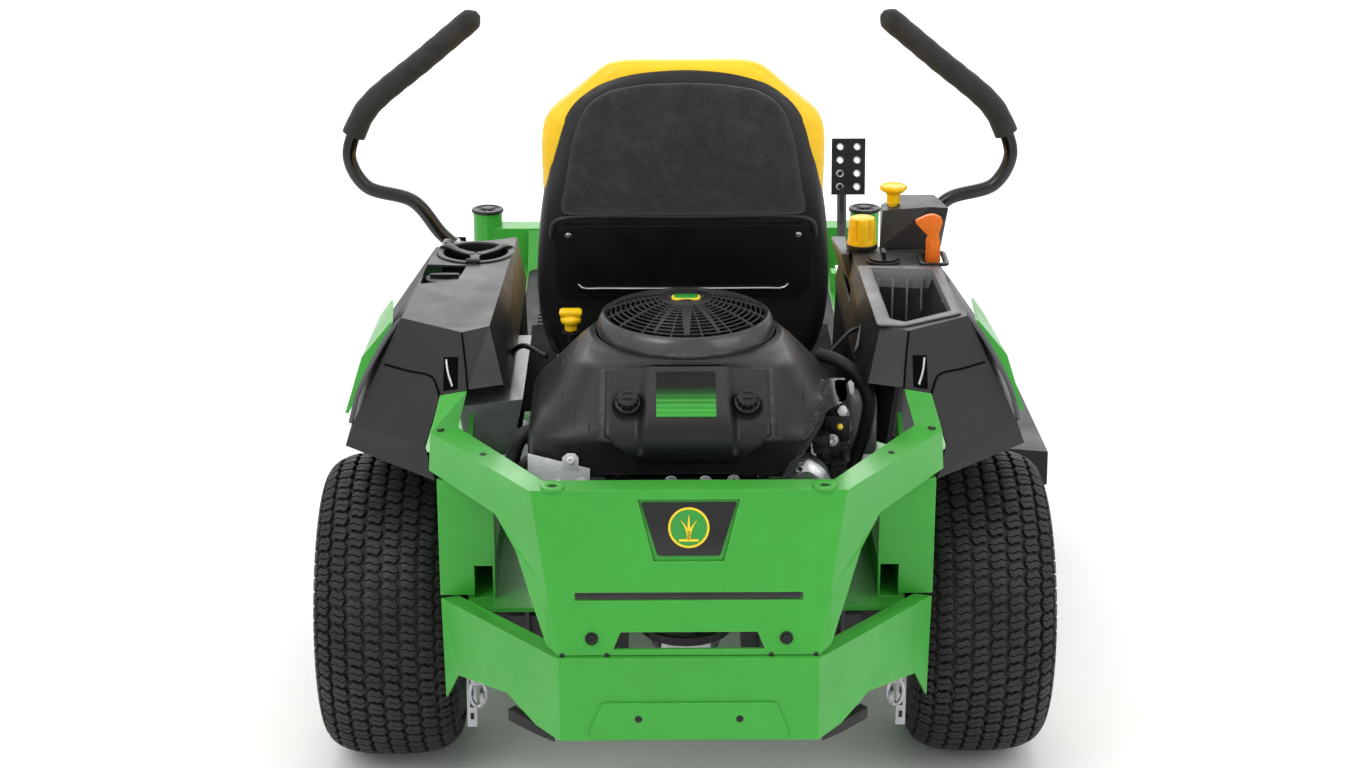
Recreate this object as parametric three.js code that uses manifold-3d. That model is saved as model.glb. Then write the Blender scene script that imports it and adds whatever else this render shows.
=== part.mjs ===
// Zero-turn riding lawn mower. Millimetres, +Z up, +Y forward, +X to the machine's right.
// Dimensions are measured from the ground below the middle of the rear axle. The finished group is
// then moved so that its origin is the bottom centre of the whole machine's box, on the ground.
import * as THREE from 'three';
import { ConvexGeometry } from 'three/addons/geometries/ConvexGeometry.js';
import { mergeVertices } from 'three/addons/utils/BufferGeometryUtils.js';
import Module from 'manifold-3d';

const wasm = await Module();
wasm.setup();

// ---- driving dimensions ----

const GAP = 0.3; // space between neighbouring pieces
const SIDES = [{ side: 'left', sign: -1 }, { side: 'right', sign: 1 }];

const DRIVE_TYRE = { radius: 228.5, width: 206, centreX: 436, rimRadius: 102 };
const CASTER = { radius: 139.5, width: 100, pivotX: 364, pivotY: 1214, trail: 55, rimRadius: 54 };

const RAIL = { inner: 268, outer: 306, bottom: 345, top: 405, rear: -262, front: 1239 };
const BEAM = { bottom: 400, top: 476, rear: 1189, front: 1239 };
const POST = { radius: 28, bottom: 345, top: 503, bore: 16 };
const ENGINE_PLATE = { rear: -296, front: 10, thickness: 6, hole: 40 };

const GUARD = {
  thickness: 3, top: 590, topHalf: 208, topY: -455, foot: 375, footHalf: 172, footY: -500,
  armX: 354, armY: -240, armFoot: 533, flange: 36,
};
const BUMPER = { thickness: 3, top: 372, bottom: 253, half: 172, face: -506, wingX: 344, wingY: -268 };

const CONSOLE = { top: 700, step: 634, crease: 556, skirt: 530, shell: 3 };
const BIN = { depth: 188, wall: 3, front: 181 };
const CUP = { x: 321, y: 266, radius: 50, depth: 62, wall: 3, facets: 24 };

const CRANK = { y: -161 };
const ENGINE = { bottom: RAIL.bottom + ENGINE_PLATE.thickness + GAP, top: 556 };
const FAN = { radius: 100, bottom: 694, guardRadius: 122, guardBottom: 716, guardTop: 738 };
const TRACTION = { level: 316, beltHeight: 11, crankRadius: 48, inputRadius: 58, inputX: 165, inputY: 5 };

const DECK = { top: 222, bottom: 98, centreY: 660, spindleX: 262, lobe: 285, skin: 4, chuteX: 540 };
const DECK_BELT = { level: 258, height: 12, depth: 9, drum: 57, sheave: 62, fanOut: 400 };
const BLADE = { length: 512, width: 62, level: 118 };

const SEAT = { half: 216, backFoot: 545, backRake: -0.188, backDepth: 74, hingeY: 590, hingeZ: 489, pin: 6 };
const LEVER = { y: 495, pivotX: 370, pivotZ: 636, hingeZ: 598, pin: 8, tube: 11.5, grip: 19 };
const PEDAL = { y: 1014, z: 428, pin: 7 };
const RUNNING = 0.6; // radial clearance of a faceted bore on its pin

const ROUND = 16; // facets of an ordinary round part
const WHEEL_FACETS = 24;
const CASTER_FACETS = 16;

// ---- colours ----

const finish = (color, roughness, metalness) => ({ color, roughness, metalness });
const GREEN = finish(0x4bb246, 0.32, 0.1);
const YELLOW = finish(0xffcd0a, 0.5, 0);
const BLACK_PLASTIC = finish(0x323232, 0.6, 0);
const BLACK_PAINT = finish(0x1d1d1d, 0.4, 0.2);
const RUBBER = finish(0x1b1b1b, 0.85, 0);
const GREY_PLASTIC = finish(0x6f7173, 0.35, 0);
const ORANGE = finish(0xf57d1e, 0.5, 0);
const STEEL = finish(0xb9bcbf, 0.35, 0.9);
const CAST = finish(0x8b8e90, 0.5, 0.8);
const FELT = finish(0x262626, 0.95, 0);

// ---- geometry helpers ----

function solidOf(geometry) {
  const bare = geometry.clone();
  bare.deleteAttribute('normal');
  bare.deleteAttribute('uv');
  const merged = mergeVertices(bare, 1e-4);
  const vertProperties = Float32Array.from(merged.attributes.position.array);
  const triVerts = Uint32Array.from(merged.index.array);
  return new wasm.Manifold(new wasm.Mesh({ numProp: 3, vertProperties, triVerts }));
}

function geometryOf(solid) {
  const mesh = solid.getMesh();
  const geometry = new THREE.BufferGeometry();
  geometry.setAttribute('position', new THREE.BufferAttribute(Float32Array.from(mesh.vertProperties), 3));
  geometry.setIndex(new THREE.BufferAttribute(Uint32Array.from(mesh.triVerts), 1));
  geometry.computeVertexNormals();
  return geometry;
}

const join = (...geometries) => geometryOf(geometries.map(solidOf).reduce((sum, next) => sum.add(next)));
const cut = (body, ...tools) =>
  geometryOf(tools.map(solidOf).reduce((left, tool) => left.subtract(tool), solidOf(body)));

// A box between two opposite corners.
function block(low, high) {
  const size = high.map((value, axis) => value - low[axis]);
  const box = new THREE.BoxGeometry(...size);
  return box.translate(...high.map((value, axis) => (value + low[axis]) / 2));
}

// The same box on the left or right side: x counts outwards from the centreline.
function sideBlock(sign, low, high) {
  const ends = [sign * low[0], sign * high[0]].sort((a, b) => a - b);
  return block([ends[0], low[1], low[2]], [ends[1], high[1], high[2]]);
}

const hull = (points) => new ConvexGeometry(points.map((point) => new THREE.Vector3(...point)));
const onSide = (sign, points) => points.map(([x, y, z]) => [sign * x, y, z]);

// Round bars along Z, X and Y, given by the low end, and a flat-bottomed prism.
function rod(radius, height, x, y, z, facets = ROUND) {
  const bar = new THREE.CylinderGeometry(radius, radius, height, facets);
  return bar.rotateX(Math.PI / 2).translate(x, y, z + height / 2);
}
function rodX(radius, from, to, y, z, facets = ROUND) {
  const bar = new THREE.CylinderGeometry(radius, radius, Math.abs(to - from), facets);
  return bar.rotateZ(Math.PI / 2).translate((from + to) / 2, y, z);
}
function rodY(radius, from, to, x, z, facets = ROUND) {
  const bar = new THREE.CylinderGeometry(radius, radius, to - from, facets);
  return bar.translate(x, (from + to) / 2, z);
}
function prism(outline, bottom, top, holes = []) {
  const shape = new THREE.Shape(outline.map(([x, y]) => new THREE.Vector2(x, y)));
  shape.holes = holes.map((hole) => new THREE.Path(hole.map(([x, y]) => new THREE.Vector2(x, y))));
  return new THREE.ExtrudeGeometry(shape, { depth: top - bottom, bevelEnabled: false }).translate(0, 0, bottom);
}

// A plate standing in a Y-Z plane, from its side outline.
function sidePlate(outline, from, to) {
  const plate = prism(outline, 0, Math.abs(to - from));
  plate.rotateZ(Math.PI / 2).rotateY(Math.PI / 2);
  return plate.translate(Math.min(from, to), 0, 0);
}

// A turned part: the profile lists [radius, height] pairs and the axis is Z.
function turned(profile, facets = ROUND) {
  const points = profile.map(([radius, height]) => new THREE.Vector2(radius, height));
  return new THREE.LatheGeometry(points, facets).rotateX(Math.PI / 2);
}
const axleTurned = (profile, facets) => turned(profile, facets).rotateY(Math.PI / 2);

// A bar that follows a smooth curve through the points.
function bentBar(points, radius, { bore = 0, facets = 4, steps = 16, from = 0, to = 1 } = {}) {
  const whole = new THREE.CatmullRomCurve3(points.map((point) => new THREE.Vector3(...point)), false,
    'centripetal');
  const part = [];
  for (let i = 0; i <= steps; i += 1) {
    part.push(whole.getPointAt(from + (to - from) * (i / steps)));
  }
  const path = new THREE.CatmullRomCurve3(part);
  const section = new THREE.Shape().absarc(0, 0, radius, 0, 2 * Math.PI);
  if (bore > 0) section.holes.push(new THREE.Path().absarc(0, 0, bore, 0, 2 * Math.PI, true));
  return new THREE.ExtrudeGeometry(section, { steps, extrudePath: path, curveSegments: facets });
}

function faceNormal(loop) {
  const normal = new THREE.Vector3();
  loop.forEach((a, i) => {
    const b = loop[(i + 1) % loop.length];
    normal.add(new THREE.Vector3().crossVectors(a, b));
  });
  return normal.normalize();
}

// Triangles of a flat polygon, given as index triples into the loop.
function trianglesOf(loop, normal) {
  const axes = ['x', 'y', 'z'].sort((a, b) => Math.abs(normal[a]) - Math.abs(normal[b]));
  const flat = loop.map((point) => new THREE.Vector2(point[axes[0]], point[axes[1]]));
  return THREE.ShapeUtils.triangulateShape(flat, []).map(([a, b, c]) => {
    const turn = faceNormal([loop[a], loop[b], loop[c]]).dot(normal);
    return turn > 0 ? [a, b, c] : [a, c, b];
  });
}

// Bent or moulded sheet: named corners, faces seen from outside in either order, and a thickness
// that goes inwards. `inside` is a point on the hollow side, which tells the two sides apart.
function sheet(corners, faces, thickness, inside) {
  const names = Object.keys(corners);
  const places = names.map((name) => new THREE.Vector3(...corners[name]));
  const centre = new THREE.Vector3(...inside);
  const triangles = [];
  const sums = names.map(() => []);
  faces.forEach((face) => {
    let indices = face.split(' ').map((name) => names.indexOf(name));
    let normal = faceNormal(indices.map((i) => places[i]));
    const middle = indices.reduce((sum, i) => sum.add(places[i]), new THREE.Vector3())
      .divideScalar(indices.length);
    if (normal.dot(middle.sub(centre)) < 0) {
      indices = indices.reverse();
      normal = normal.negate();
    }
    indices.forEach((i) => sums[i].push(normal));
    trianglesOf(indices.map((i) => places[i]), normal)
      .forEach((triple) => triangles.push(triple.map((k) => indices[k])));
  });
  const inner = places.map((place, i) => {
    const mean = sums[i].reduce((sum, normal) => sum.add(normal), new THREE.Vector3()).normalize();
    const lean = sums[i].reduce((sum, normal) => sum + mean.dot(normal), 0) / sums[i].length;
    return place.clone().addScaledVector(mean, -thickness / Math.max(lean, 0.5));
  });
  const count = places.length;
  const index = [];
  const edges = new Set(triangles.flatMap(([a, b, c]) => [`${a}-${b}`, `${b}-${c}`, `${c}-${a}`]));
  triangles.forEach(([a, b, c]) => {
    index.push(a, b, c, a + count, c + count, b + count);
    [[a, b], [b, c], [c, a]].forEach(([from, to]) => {
      if (edges.has(`${to}-${from}`)) return;
      index.push(to, from, from + count, to, from + count, to + count);
    });
  });
  const geometry = new THREE.BufferGeometry();
  const positions = [...places, ...inner].flatMap((point) => point.toArray());
  geometry.setAttribute('position', new THREE.Float32BufferAttribute(positions, 3));
  geometry.setIndex(index);
  return geometry;
}

// Both halves of a symmetric set of named corners: the left ones get the suffix L.
function bothSides(corners) {
  const pairs = Object.entries(corners);
  return Object.fromEntries([
    ...pairs,
    ...pairs.map(([name, [x, y, z]]) => [`${name}L`, [-x, y, z]]),
  ]);
}
const bothFaces = (faces) => [...faces, ...faces.map((face) => face.replace(/(\w+)/g, '$1L'))];

// ---- assembly ----

const group = new THREE.Group();

function add(name, geometry, look, parent = group) {
  const mesh = new THREE.Mesh(geometry, new THREE.MeshStandardMaterial(look));
  mesh.name = name;
  parent.add(mesh);
  return mesh;
}

function at(x, y, z, parent = group) {
  const place = new THREE.Group();
  place.position.set(x, y, z);
  parent.add(place);
  return place;
}

// ---- frame ----

function mainFrame() {
  const pieces = [
    block([-CASTER.pivotX, BEAM.rear, BEAM.bottom], [CASTER.pivotX, BEAM.front, BEAM.top]),
    block([-RAIL.outer, 90, RAIL.bottom], [RAIL.outer, 130, RAIL.top]),
    block([-RAIL.outer, 520, RAIL.bottom + 20], [RAIL.outer, 556, RAIL.top]),
    block([-RAIL.outer, ENGINE_PLATE.rear, RAIL.bottom],
      [RAIL.outer, ENGINE_PLATE.front, RAIL.bottom + ENGINE_PLATE.thickness]),
    block([-RAIL.outer, 130, RAIL.bottom], [RAIL.outer, 352, RAIL.bottom + 4]),
  ];
  SIDES.forEach(({ sign }) => {
    pieces.push(
      sideBlock(sign, [RAIL.inner, RAIL.rear, RAIL.bottom], [RAIL.outer, RAIL.front, RAIL.top]),
      rod(POST.radius, POST.top - POST.bottom, sign * CASTER.pivotX, CASTER.pivotY, POST.bottom),
      sideBlock(sign, [RAIL.inner, RAIL.rear - 4, 358], [345, RAIL.rear + 4, 530]),
      sidePlate([[RAIL.rear, 400], [-60, 400], [-150, 585], [RAIL.rear, 525]],
        sign * (RAIL.outer - 6), sign * RAIL.outer),
      sideBlock(sign, [RAIL.outer - 6, LEVER.y - 12, 400], [RAIL.outer, LEVER.y + 12, LEVER.hingeZ + 16]),
      rodX(LEVER.pin, sign * (RAIL.outer - 4), sign * 402, LEVER.y, LEVER.hingeZ),
    );
  });
  pieces.push(
    block([287, PEDAL.y - 16, 400], [297, PEDAL.y + 16, PEDAL.z + 14]),
    rodX(PEDAL.pin, 290, 327, PEDAL.y, PEDAL.z),
  );
  const bores = SIDES.map(({ sign }) =>
    rod(POST.bore, POST.top - POST.bottom - 8, sign * CASTER.pivotX, CASTER.pivotY, POST.bottom - 4));
  const hollows = SIDES.map(({ sign }) => sideBlock(sign, [RAIL.inner + 3, RAIL.rear - 20, RAIL.bottom + 7],
    [RAIL.outer - 9, BEAM.rear - 10, RAIL.top - 3]));
  const crankHole = rod(ENGINE_PLATE.hole, 40, 0, CRANK.y, RAIL.bottom - 20);
  return cut(join(...pieces), crankHole, ...bores, ...hollows);
}

// ---- rear guard and bumper ----

function rearGuard() {
  const g = GUARD;
  const corners = bothSides({
    top: [g.topHalf, g.topY, g.top],
    foot: [g.footHalf, g.footY, g.foot],
    waist: [187, -482, 460],
    arm: [g.armX, g.armY, g.top],
    armFoot: [g.armX + 4, g.armY + 6, g.armFoot],
    elbow: [258, -384, 529],
    knee: [229, -427, 494],
    shin: [210, -456, 442],
    ankle: [188, -488, 385],
    topIn: [g.topHalf - 16, g.topY + g.flange, g.top],
    armIn: [g.armX - g.flange, g.armY + 25, g.top],
    mount: [344, -180, 624],
    mountIn: [306, -180, 631],
  });
  const faces = bothFaces([
    'top arm armFoot elbow knee shin ankle foot waist',
    'top arm armIn topIn',
    'arm armIn mountIn mount',
  ]);
  faces.push('top topL waistL waist', 'waist waistL footL foot', 'top topL topInL topIn');
  const skin = sheet(corners, faces, g.thickness, [0, -300, 450]);
  const slot = block([-150, -520, 446], [150, -440, 457]);
  const window = hull([-1, 1].flatMap((end) => [
    [end * 90, -560, 405], [end * 90, -440, 405], [end * 100, -560, 382], [end * 100, -440, 382],
  ]));
  const recess = hull([-1, 1].flatMap((end) => [
    [end * 67, -520, 578], [end * 67, -440, 578], [end * 46, -520, 497], [end * 46, -440, 497],
  ]));
  const bolts = [-128, 128].map((x) => rodY(6, -540, -440, x, 397, 12));
  return cut(skin, slot, window, recess, ...bolts);
}

function rearBumper() {
  const b = BUMPER;
  const corners = bothSides({
    top: [b.half, b.face, b.top],
    bottom: [b.half, b.face, b.bottom],
    topIn: [b.half - 6, b.face + 26, b.top + 4],
    wingTop: [b.wingX, b.wingY, 354],
    wingIn: [b.wingX - 24, b.wingY + 4, 356],
    wingFoot: [b.wingX - 3, b.wingY - 4, 203],
    gusset: [322, -297, 249],
    sweep: [247, -403, 273],
    heel: [205, -461, 254],
    bottomIn: [b.half - 10, b.face + 30, b.bottom],
    heelIn: [190, -440, 256],
  });
  const faces = bothFaces([
    'top wingTop wingFoot gusset sweep heel bottom',
    'top wingTop wingIn topIn',
    'bottom heel heelIn bottomIn',
  ]);
  faces.push('top topL bottomL bottom', 'top topL topInL topIn', 'bottom bottomL bottomInL bottomIn');
  const skin = sheet(corners, faces, b.thickness, [0, -330, 310]);
  const holes = [-67, 67].map((x) => rodY(5, b.face - 20, b.face + 20, x, 286, 12));
  return cut(skin, ...holes);
}

// ---- fenders ----

const CONSOLE_CORNERS = {
  frontIn: [261, 354, CONSOLE.top],
  frontOut: [385, 299, CONSOLE.top],
  rearOut: [406, -61, CONSOLE.top],
  ridge: [315, -128, CONSOLE.top],
  rearIn: [278, -100, CONSOLE.top],
  ridgeFoot: [305, -183, CONSOLE.step],
  innerFoot: [256, -168, CONSOLE.step + 2],
  notch: [346, -163, 618],
  creaseIn: [367, -195, CONSOLE.crease - 3],
  creaseOut: [477, -112, CONSOLE.crease],
  skirtIn: [351, -232, 517],
  skirtOut: [486, -128, CONSOLE.skirt],
  archCrease: [482, 150, CONSOLE.crease],
  archSkirt: [489, 150, CONSOLE.skirt - 4],
  noseCrease: [482, 330, CONSOLE.crease],
  noseSkirt: [489, 300, 472],
  slopeOut: [440, 430, 600],
  slopeIn: [252, 450, 600],
  toeOut: [450, 520, 430],
  toeIn: [275, 540, RAIL.top + 2],
  heelIn: [275, 240, RAIL.top + 2],
  wallFoot: [251, 180, 603],
  wallRear: [250, -100, 606],
};
const CONSOLE_FACES = [
  'frontIn frontOut rearOut ridge rearIn',
  'rearOut ridge ridgeFoot notch creaseIn creaseOut',
  'ridge rearIn innerFoot ridgeFoot',
  'creaseIn creaseOut skirtOut skirtIn',
  'rearOut frontOut noseCrease archCrease creaseOut',
  'creaseOut archCrease archSkirt skirtOut',
  'archCrease noseCrease noseSkirt archSkirt',
  'frontOut slopeOut noseCrease',
  'noseCrease slopeOut toeOut noseSkirt',
  'frontIn frontOut slopeOut slopeIn',
  'slopeIn slopeOut toeOut toeIn',
  'rearIn frontIn slopeIn wallFoot wallRear innerFoot',
  'slopeIn toeIn heelIn wallFoot',
];

function consoleShell(sign) {
  const corners = Object.fromEntries(
    Object.entries(CONSOLE_CORNERS).map(([name, [x, y, z]]) => [name, [sign * x, y, z]]));
  return sheet(corners, CONSOLE_FACES, CONSOLE.shell, [sign * 360, 80, 560]);
}

// The lever post rises through a slot in the front slope of each console.
const postSlot = (sign) => sideBlock(sign, [RAIL.outer - 10, 440, 380], [346, 530, 640]);

function leftFender() {
  const floor = CONSOLE.top - CUP.depth;
  const cup = rod(CUP.radius + CUP.wall, CUP.depth - 1, -CUP.x, CUP.y, floor, CUP.facets);
  const hollow = rod(CUP.radius, CUP.depth, -CUP.x, CUP.y, floor + CUP.wall, CUP.facets);
  const recess = prism([[-393, 205], [-330, 198], [-338, 122], [-393, 104]], CONSOLE.top - 30,
    CONSOLE.top + 30);
  return cut(join(consoleShell(-1), cup), hollow, recess, postSlot(-1));
}

function rightFender() {
  const mouth = [[283, 170], [380, 160], [386, -48], [312, -102], [290, -86]];
  const grown = [[280, 174], [384, 163], [390, -50], [312, -107], [286, -90]];
  const floor = CONSOLE.top - BIN.depth;
  const shrink = ([x, y]) => [272 + (x - 272) * 0.5, y * 0.8];
  const shape = (outline, bottom) => hull([
    ...outline.map(([x, y]) => [x, y, CONSOLE.top - 1]),
    ...outline.map((corner) => [...shrink(corner), bottom]),
  ]);
  const bin = shape(grown, floor);
  const hollow = join(
    shape(mouth, floor + BIN.wall),
    prism(mouth, CONSOLE.top - 4, CONSOLE.top + 20),
  );
  const opening = block([200, BIN.front + 8, CONSOLE.step + 8], [520, 480, CONSOLE.top + 20]);
  return cut(join(cut(consoleShell(1), prism(mouth, CONSOLE.top - 6, CONSOLE.top + 20)), bin),
    hollow, opening, postSlot(1));
}

function fenderTrim(sign) {
  return hull(onSide(sign, [
    [444, 200, 644], [421, -40, 686], [448, 200, 644], [425, -40, 686],
    [484, -92, 566], [484, 312, 558], [489, -92, 566], [489, 312, 558],
    [466, -60, 640], [470, 240, 608],
  ]));
}

function controlPanel() {
  const rear = BIN.front + 8.4;
  const low = CONSOLE.step + 8.4;
  const base = hull([
    [262, rear, low], [418, rear, low], [404, 340, low], [262, 378, low],
    [268, rear, 688], [398, rear, 690], [396, 318, 688], [268, 350, 686],
  ]);
  const pod = hull([
    [312, 320, 690], [400, 322, 690], [404, 340, low], [320, 366, low],
    [318, 345, 744], [318, 386, 742], [352, 412, 752], [404, 396, 756], [420, 330, 752], [392, 330, 754],
    [408, 372, 670],
  ]);
  const slot = block([376, 226, 676], [402, 282, 720]);
  const bores = [rod(9, 60, 284, 320, 660, 16), rod(10, 90, 336, 366, 690, 16), rod(10, 60, 312, 250, 660, 16)];
  return cut(join(base, pod), slot, ...bores);
}

// ---- floor, seat support, tanks ----

function floorPan() {
  const profile = [
    [558, RAIL.top + GAP], [1130, RAIL.top + GAP], [1186, 470], [1183, 474], [1127, RAIL.top + 5],
    [558, RAIL.top + 5],
  ];
  return sidePlate(profile, -284, 284);
}

function seatBase() {
  const z = RAIL.top + GAP;
  const cheeks = [-1, 1].map((sign) => sidePlate(
    [[140, 495], [598, 495], [598, 478], [552, z], [180, z], [140, 470]], sign * 186, sign * 180));
  return join(
    ...cheeks,
    block([-184, 150, 482], [184, 170, 495]),
    block([-184, 556, 440], [184, 570, 470]),
    rodX(SEAT.pin, -190, 190, SEAT.hingeY, SEAT.hingeZ, 12),
  );
}

function fuelTank() {
  const lower = hull(onSide(-1, [
    [232, -118, 596], [322, -150, 596], [322, 172, 596], [232, 172, 596],
    [250, -96, 505], [312, -110, 500], [312, 150, 500], [250, 150, 505],
  ]));
  const upper = hull(onSide(-1, [
    [272, -60, 590], [322, -60, 590], [322, 205, 590], [272, 205, 590],
    [286, -50, 652], [392, -30, 652], [392, 205, 652], [286, 205, 652], [400, 205, 612], [400, -30, 612],
  ]));
  return join(lower, upper, rod(22, 20, -362, 168, 648, 16));
}

// ---- engine ----

function engineBlock() {
  const z = ENGINE.bottom;
  const pieces = [
    hull([[-130, -292, z], [130, -292, z], [130, -30, z], [-130, -30, z],
      [-112, -280, 500], [112, -280, 500], [112, -50, 500], [-112, -50, 500]]),
    rod(92, 60, 0, CRANK.y, 496),
  ];
  SIDES.forEach(({ sign }) => {
    pieces.push(
      hull(onSide(sign, [[60, -300, 430], [176, -330, 430], [176, -200, 430], [60, -170, 430],
        [60, -300, 536], [176, -330, 536], [176, -200, 536], [60, -170, 536]])),
      sideBlock(sign, [170, -322, 440], [196, -208, 528]),
    );
  });
  return join(...pieces);
}

function engineShroud() {
  const shell = (inset, bottom, top) => hull([
    ...onSide(-1, [[222 - inset, -40 - inset, bottom], [222 - inset, -300 + inset, bottom],
      [176 - inset, -352 + inset, bottom], [212 - inset, -60 - inset, 636 - inset],
      [206 - inset, -250 + inset, 632 - inset], [160 - inset, -318 + inset, 616 - inset]]),
    ...onSide(1, [[214 - inset, -40 - inset, bottom], [214 - inset, -300 + inset, bottom],
      [176 - inset, -352 + inset, bottom], [204 - inset, -60 - inset, 632 - inset],
      [200 - inset, -250 + inset, 628 - inset], [160 - inset, -318 + inset, 616 - inset]]),
    ...Array.from({ length: ROUND }, (_, i) => {
      const angle = (i / ROUND) * 2 * Math.PI;
      return [(132 - inset) * Math.cos(angle), CRANK.y + (128 - inset) * Math.sin(angle), top];
    }),
  ]);
  const outer = shell(0, 566, FAN.guardBottom - 4);
  const inner = shell(4, 560, FAN.guardBottom - 8);
  const coverSeat = block([-114, -420, 550], [114, -287, 720]);
  return cut(outer, inner, rod(112, 60, 0, CRANK.y, 690), coverSeat);
}

function airFilterCover() {
  const corners = [
    [112, -290, 690], [104, -300, 694], [110, -352, 650], [106, -366, 632], [80, -368, 602], [74, -312, 600],
    [104, -310, 630],
  ];
  const cover = hull([...corners, ...onSide(-1, corners)]);
  const boss = hull(onSide(1, [[-42, -296, 700], [42, -296, 700], [44, -340, 666], [-44, -340, 666],
    [40, -300, 640], [-40, -300, 640]]));
  const bores = [-1, 1].map((sign) => rod(7, 90, 0, 0, -45, 12).rotateX(0.72)
    .translate(sign * 80, -330, 664));
  return cut(join(cover, boss), ...bores);
}

function filterKnob() {
  const wing = block([-16, -5, 6], [16, 5, 17]);
  return join(rod(17, 8, 0, 0, 0, 16), wing, rod(5.5, 14, 0, 0, -13, 12));
}

function fanGuard() {
  const ring = turned([[108, FAN.guardBottom - 4 + GAP], [FAN.guardRadius, FAN.guardBottom - 4 + GAP],
    [FAN.guardRadius + 2, FAN.guardBottom + 8], [FAN.guardRadius - 4, FAN.guardTop], [110, FAN.guardTop],
    [108, FAN.guardBottom - 4 + GAP]], 24);
  const spokes = Array.from({ length: 4 }, (_, i) =>
    block([-114, -3, FAN.guardTop - 8], [114, 3, FAN.guardTop + 2]).rotateZ((i * Math.PI) / 4));
  const hoop = turned([[70, FAN.guardTop - 8], [76, FAN.guardTop - 8], [76, FAN.guardTop + 2],
    [70, FAN.guardTop + 2], [70, FAN.guardTop - 8]]);
  return join(ring, rod(34, 12, 0, 0, FAN.guardTop - 8), hoop, ...spokes);
}

function coolingFan() {
  const vanes = Array.from({ length: 8 }, (_, i) =>
    block([38, -1.5, FAN.bottom + 4], [96, 1.5, FAN.bottom + 24]).rotateZ((i * Math.PI) / 4));
  return join(rod(FAN.radius, 6, 0, 0, FAN.bottom), rod(40, 22, 0, 0, FAN.bottom), ...vanes,
    rod(14, 134, 0, 0, ENGINE.top + 6, 12));
}

// ---- belts and pulleys ----

function sheave(radius, z, height, shaft) {
  return [rod(radius - 4, height + 8, 0, 0, z - 4), rod(radius + 8, 3, 0, 0, z - 6),
    rod(radius + 8, 3, 0, 0, z + height + 3), ...shaft];
}

function crankPulley() {
  const shaft = [rod(13, 112, 0, 0, 232, 12), rod(50, 62, 0, 0, 236)];
  return join(...sheave(TRACTION.crankRadius, TRACTION.level, TRACTION.beltHeight, shaft));
}

function inputPulley() {
  const fan = Array.from({ length: 6 }, (_, i) =>
    block([10, -1.5, 302], [62, 1.5, 309]).rotateZ((i * Math.PI) / 3));
  return join(...sheave(TRACTION.inputRadius, TRACTION.level, TRACTION.beltHeight,
    [rod(12, 16, 0, 0, 298, 12), ...fan]));
}

// Points on the outer side of a round stop, from one angle to another.
function arc(x, y, radius, from, to, steps = 10) {
  return Array.from({ length: steps + 1 }, (_, i) => {
    const angle = from + ((to - from) * i) / steps;
    return [x + radius * Math.cos(angle), y + radius * Math.sin(angle)];
  });
}

function tractionBelt() {
  const loop = (extra) => [
    ...arc(0, CRANK.y, TRACTION.crankRadius + extra, -2.36, -0.79),
    ...arc(TRACTION.inputX, TRACTION.inputY, TRACTION.inputRadius + extra, -0.79, 1.57),
    ...arc(-TRACTION.inputX, TRACTION.inputY, TRACTION.inputRadius + extra, 1.57, 3.93),
  ];
  return prism(loop(10), TRACTION.level, TRACTION.level + TRACTION.beltHeight, [loop(1.5)]);
}

function deckBelt() {
  const b = DECK_BELT;
  const loop = (extra) => [
    ...arc(0, CRANK.y, b.drum + extra, -Math.PI, 0),
    [b.drum + extra, b.fanOut],
    ...arc(DECK.spindleX, DECK.centreY, b.sheave + extra, -0.75, 1.57),
    ...arc(-DECK.spindleX, DECK.centreY, b.sheave + extra, 1.57, 3.89),
    [-b.drum - extra, b.fanOut],
  ];
  return prism(loop(b.depth), b.level, b.level + b.height, [loop(0)]);
}

function transaxle(sign) {
  const pieces = [
    hull(onSide(sign, [[84, -90, 180], [262, -84, 180], [262, 84, 180], [84, 90, 180],
      [84, -100, 246], [262, -92, 246], [262, 92, 246], [84, 100, 246],
      [100, -80, 286], [240, -72, 286], [240, 72, 286], [100, 80, 286]])),
    rodX(46, sign * 255, sign * 318, 0, DRIVE_TYRE.radius),
    rodX(16, sign * 310, sign * 409.5, 0, DRIVE_TYRE.radius, 16),
    rod(20, 13, sign * TRACTION.inputX, TRACTION.inputY, 284, 16),
    sideBlock(sign, [270, -60, 240], [300, 60, RAIL.bottom - GAP]),
  ];
  for (let fin = 0; fin < 5; fin += 1) {
    pieces.push(sideBlock(sign, [110 + fin * 30, -112, 190], [116 + fin * 30, -60, 280]));
  }
  return join(...pieces);
}

function muffler() {
  return join(
    rodX(50, -150, 150, -392, 462),
    ...[-1, 1].map((sign) => hull(onSide(sign, [[86, -352, 470], [112, -352, 470], [86, -352, 496],
      [112, -352, 496], [86, -330.4, 470], [112, -330.4, 470], [86, -330.4, 496], [112, -330.4, 496]]))),
    ...[-1, 1].map((sign) => hull(onSide(sign, [[90, -380, 470], [108, -380, 470], [90, -380, 490],
      [108, -380, 490], [90, -345, 472], [108, -345, 472], [90, -345, 492], [108, -345, 492]]))),
  );
}

// ---- wheels ----

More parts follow.
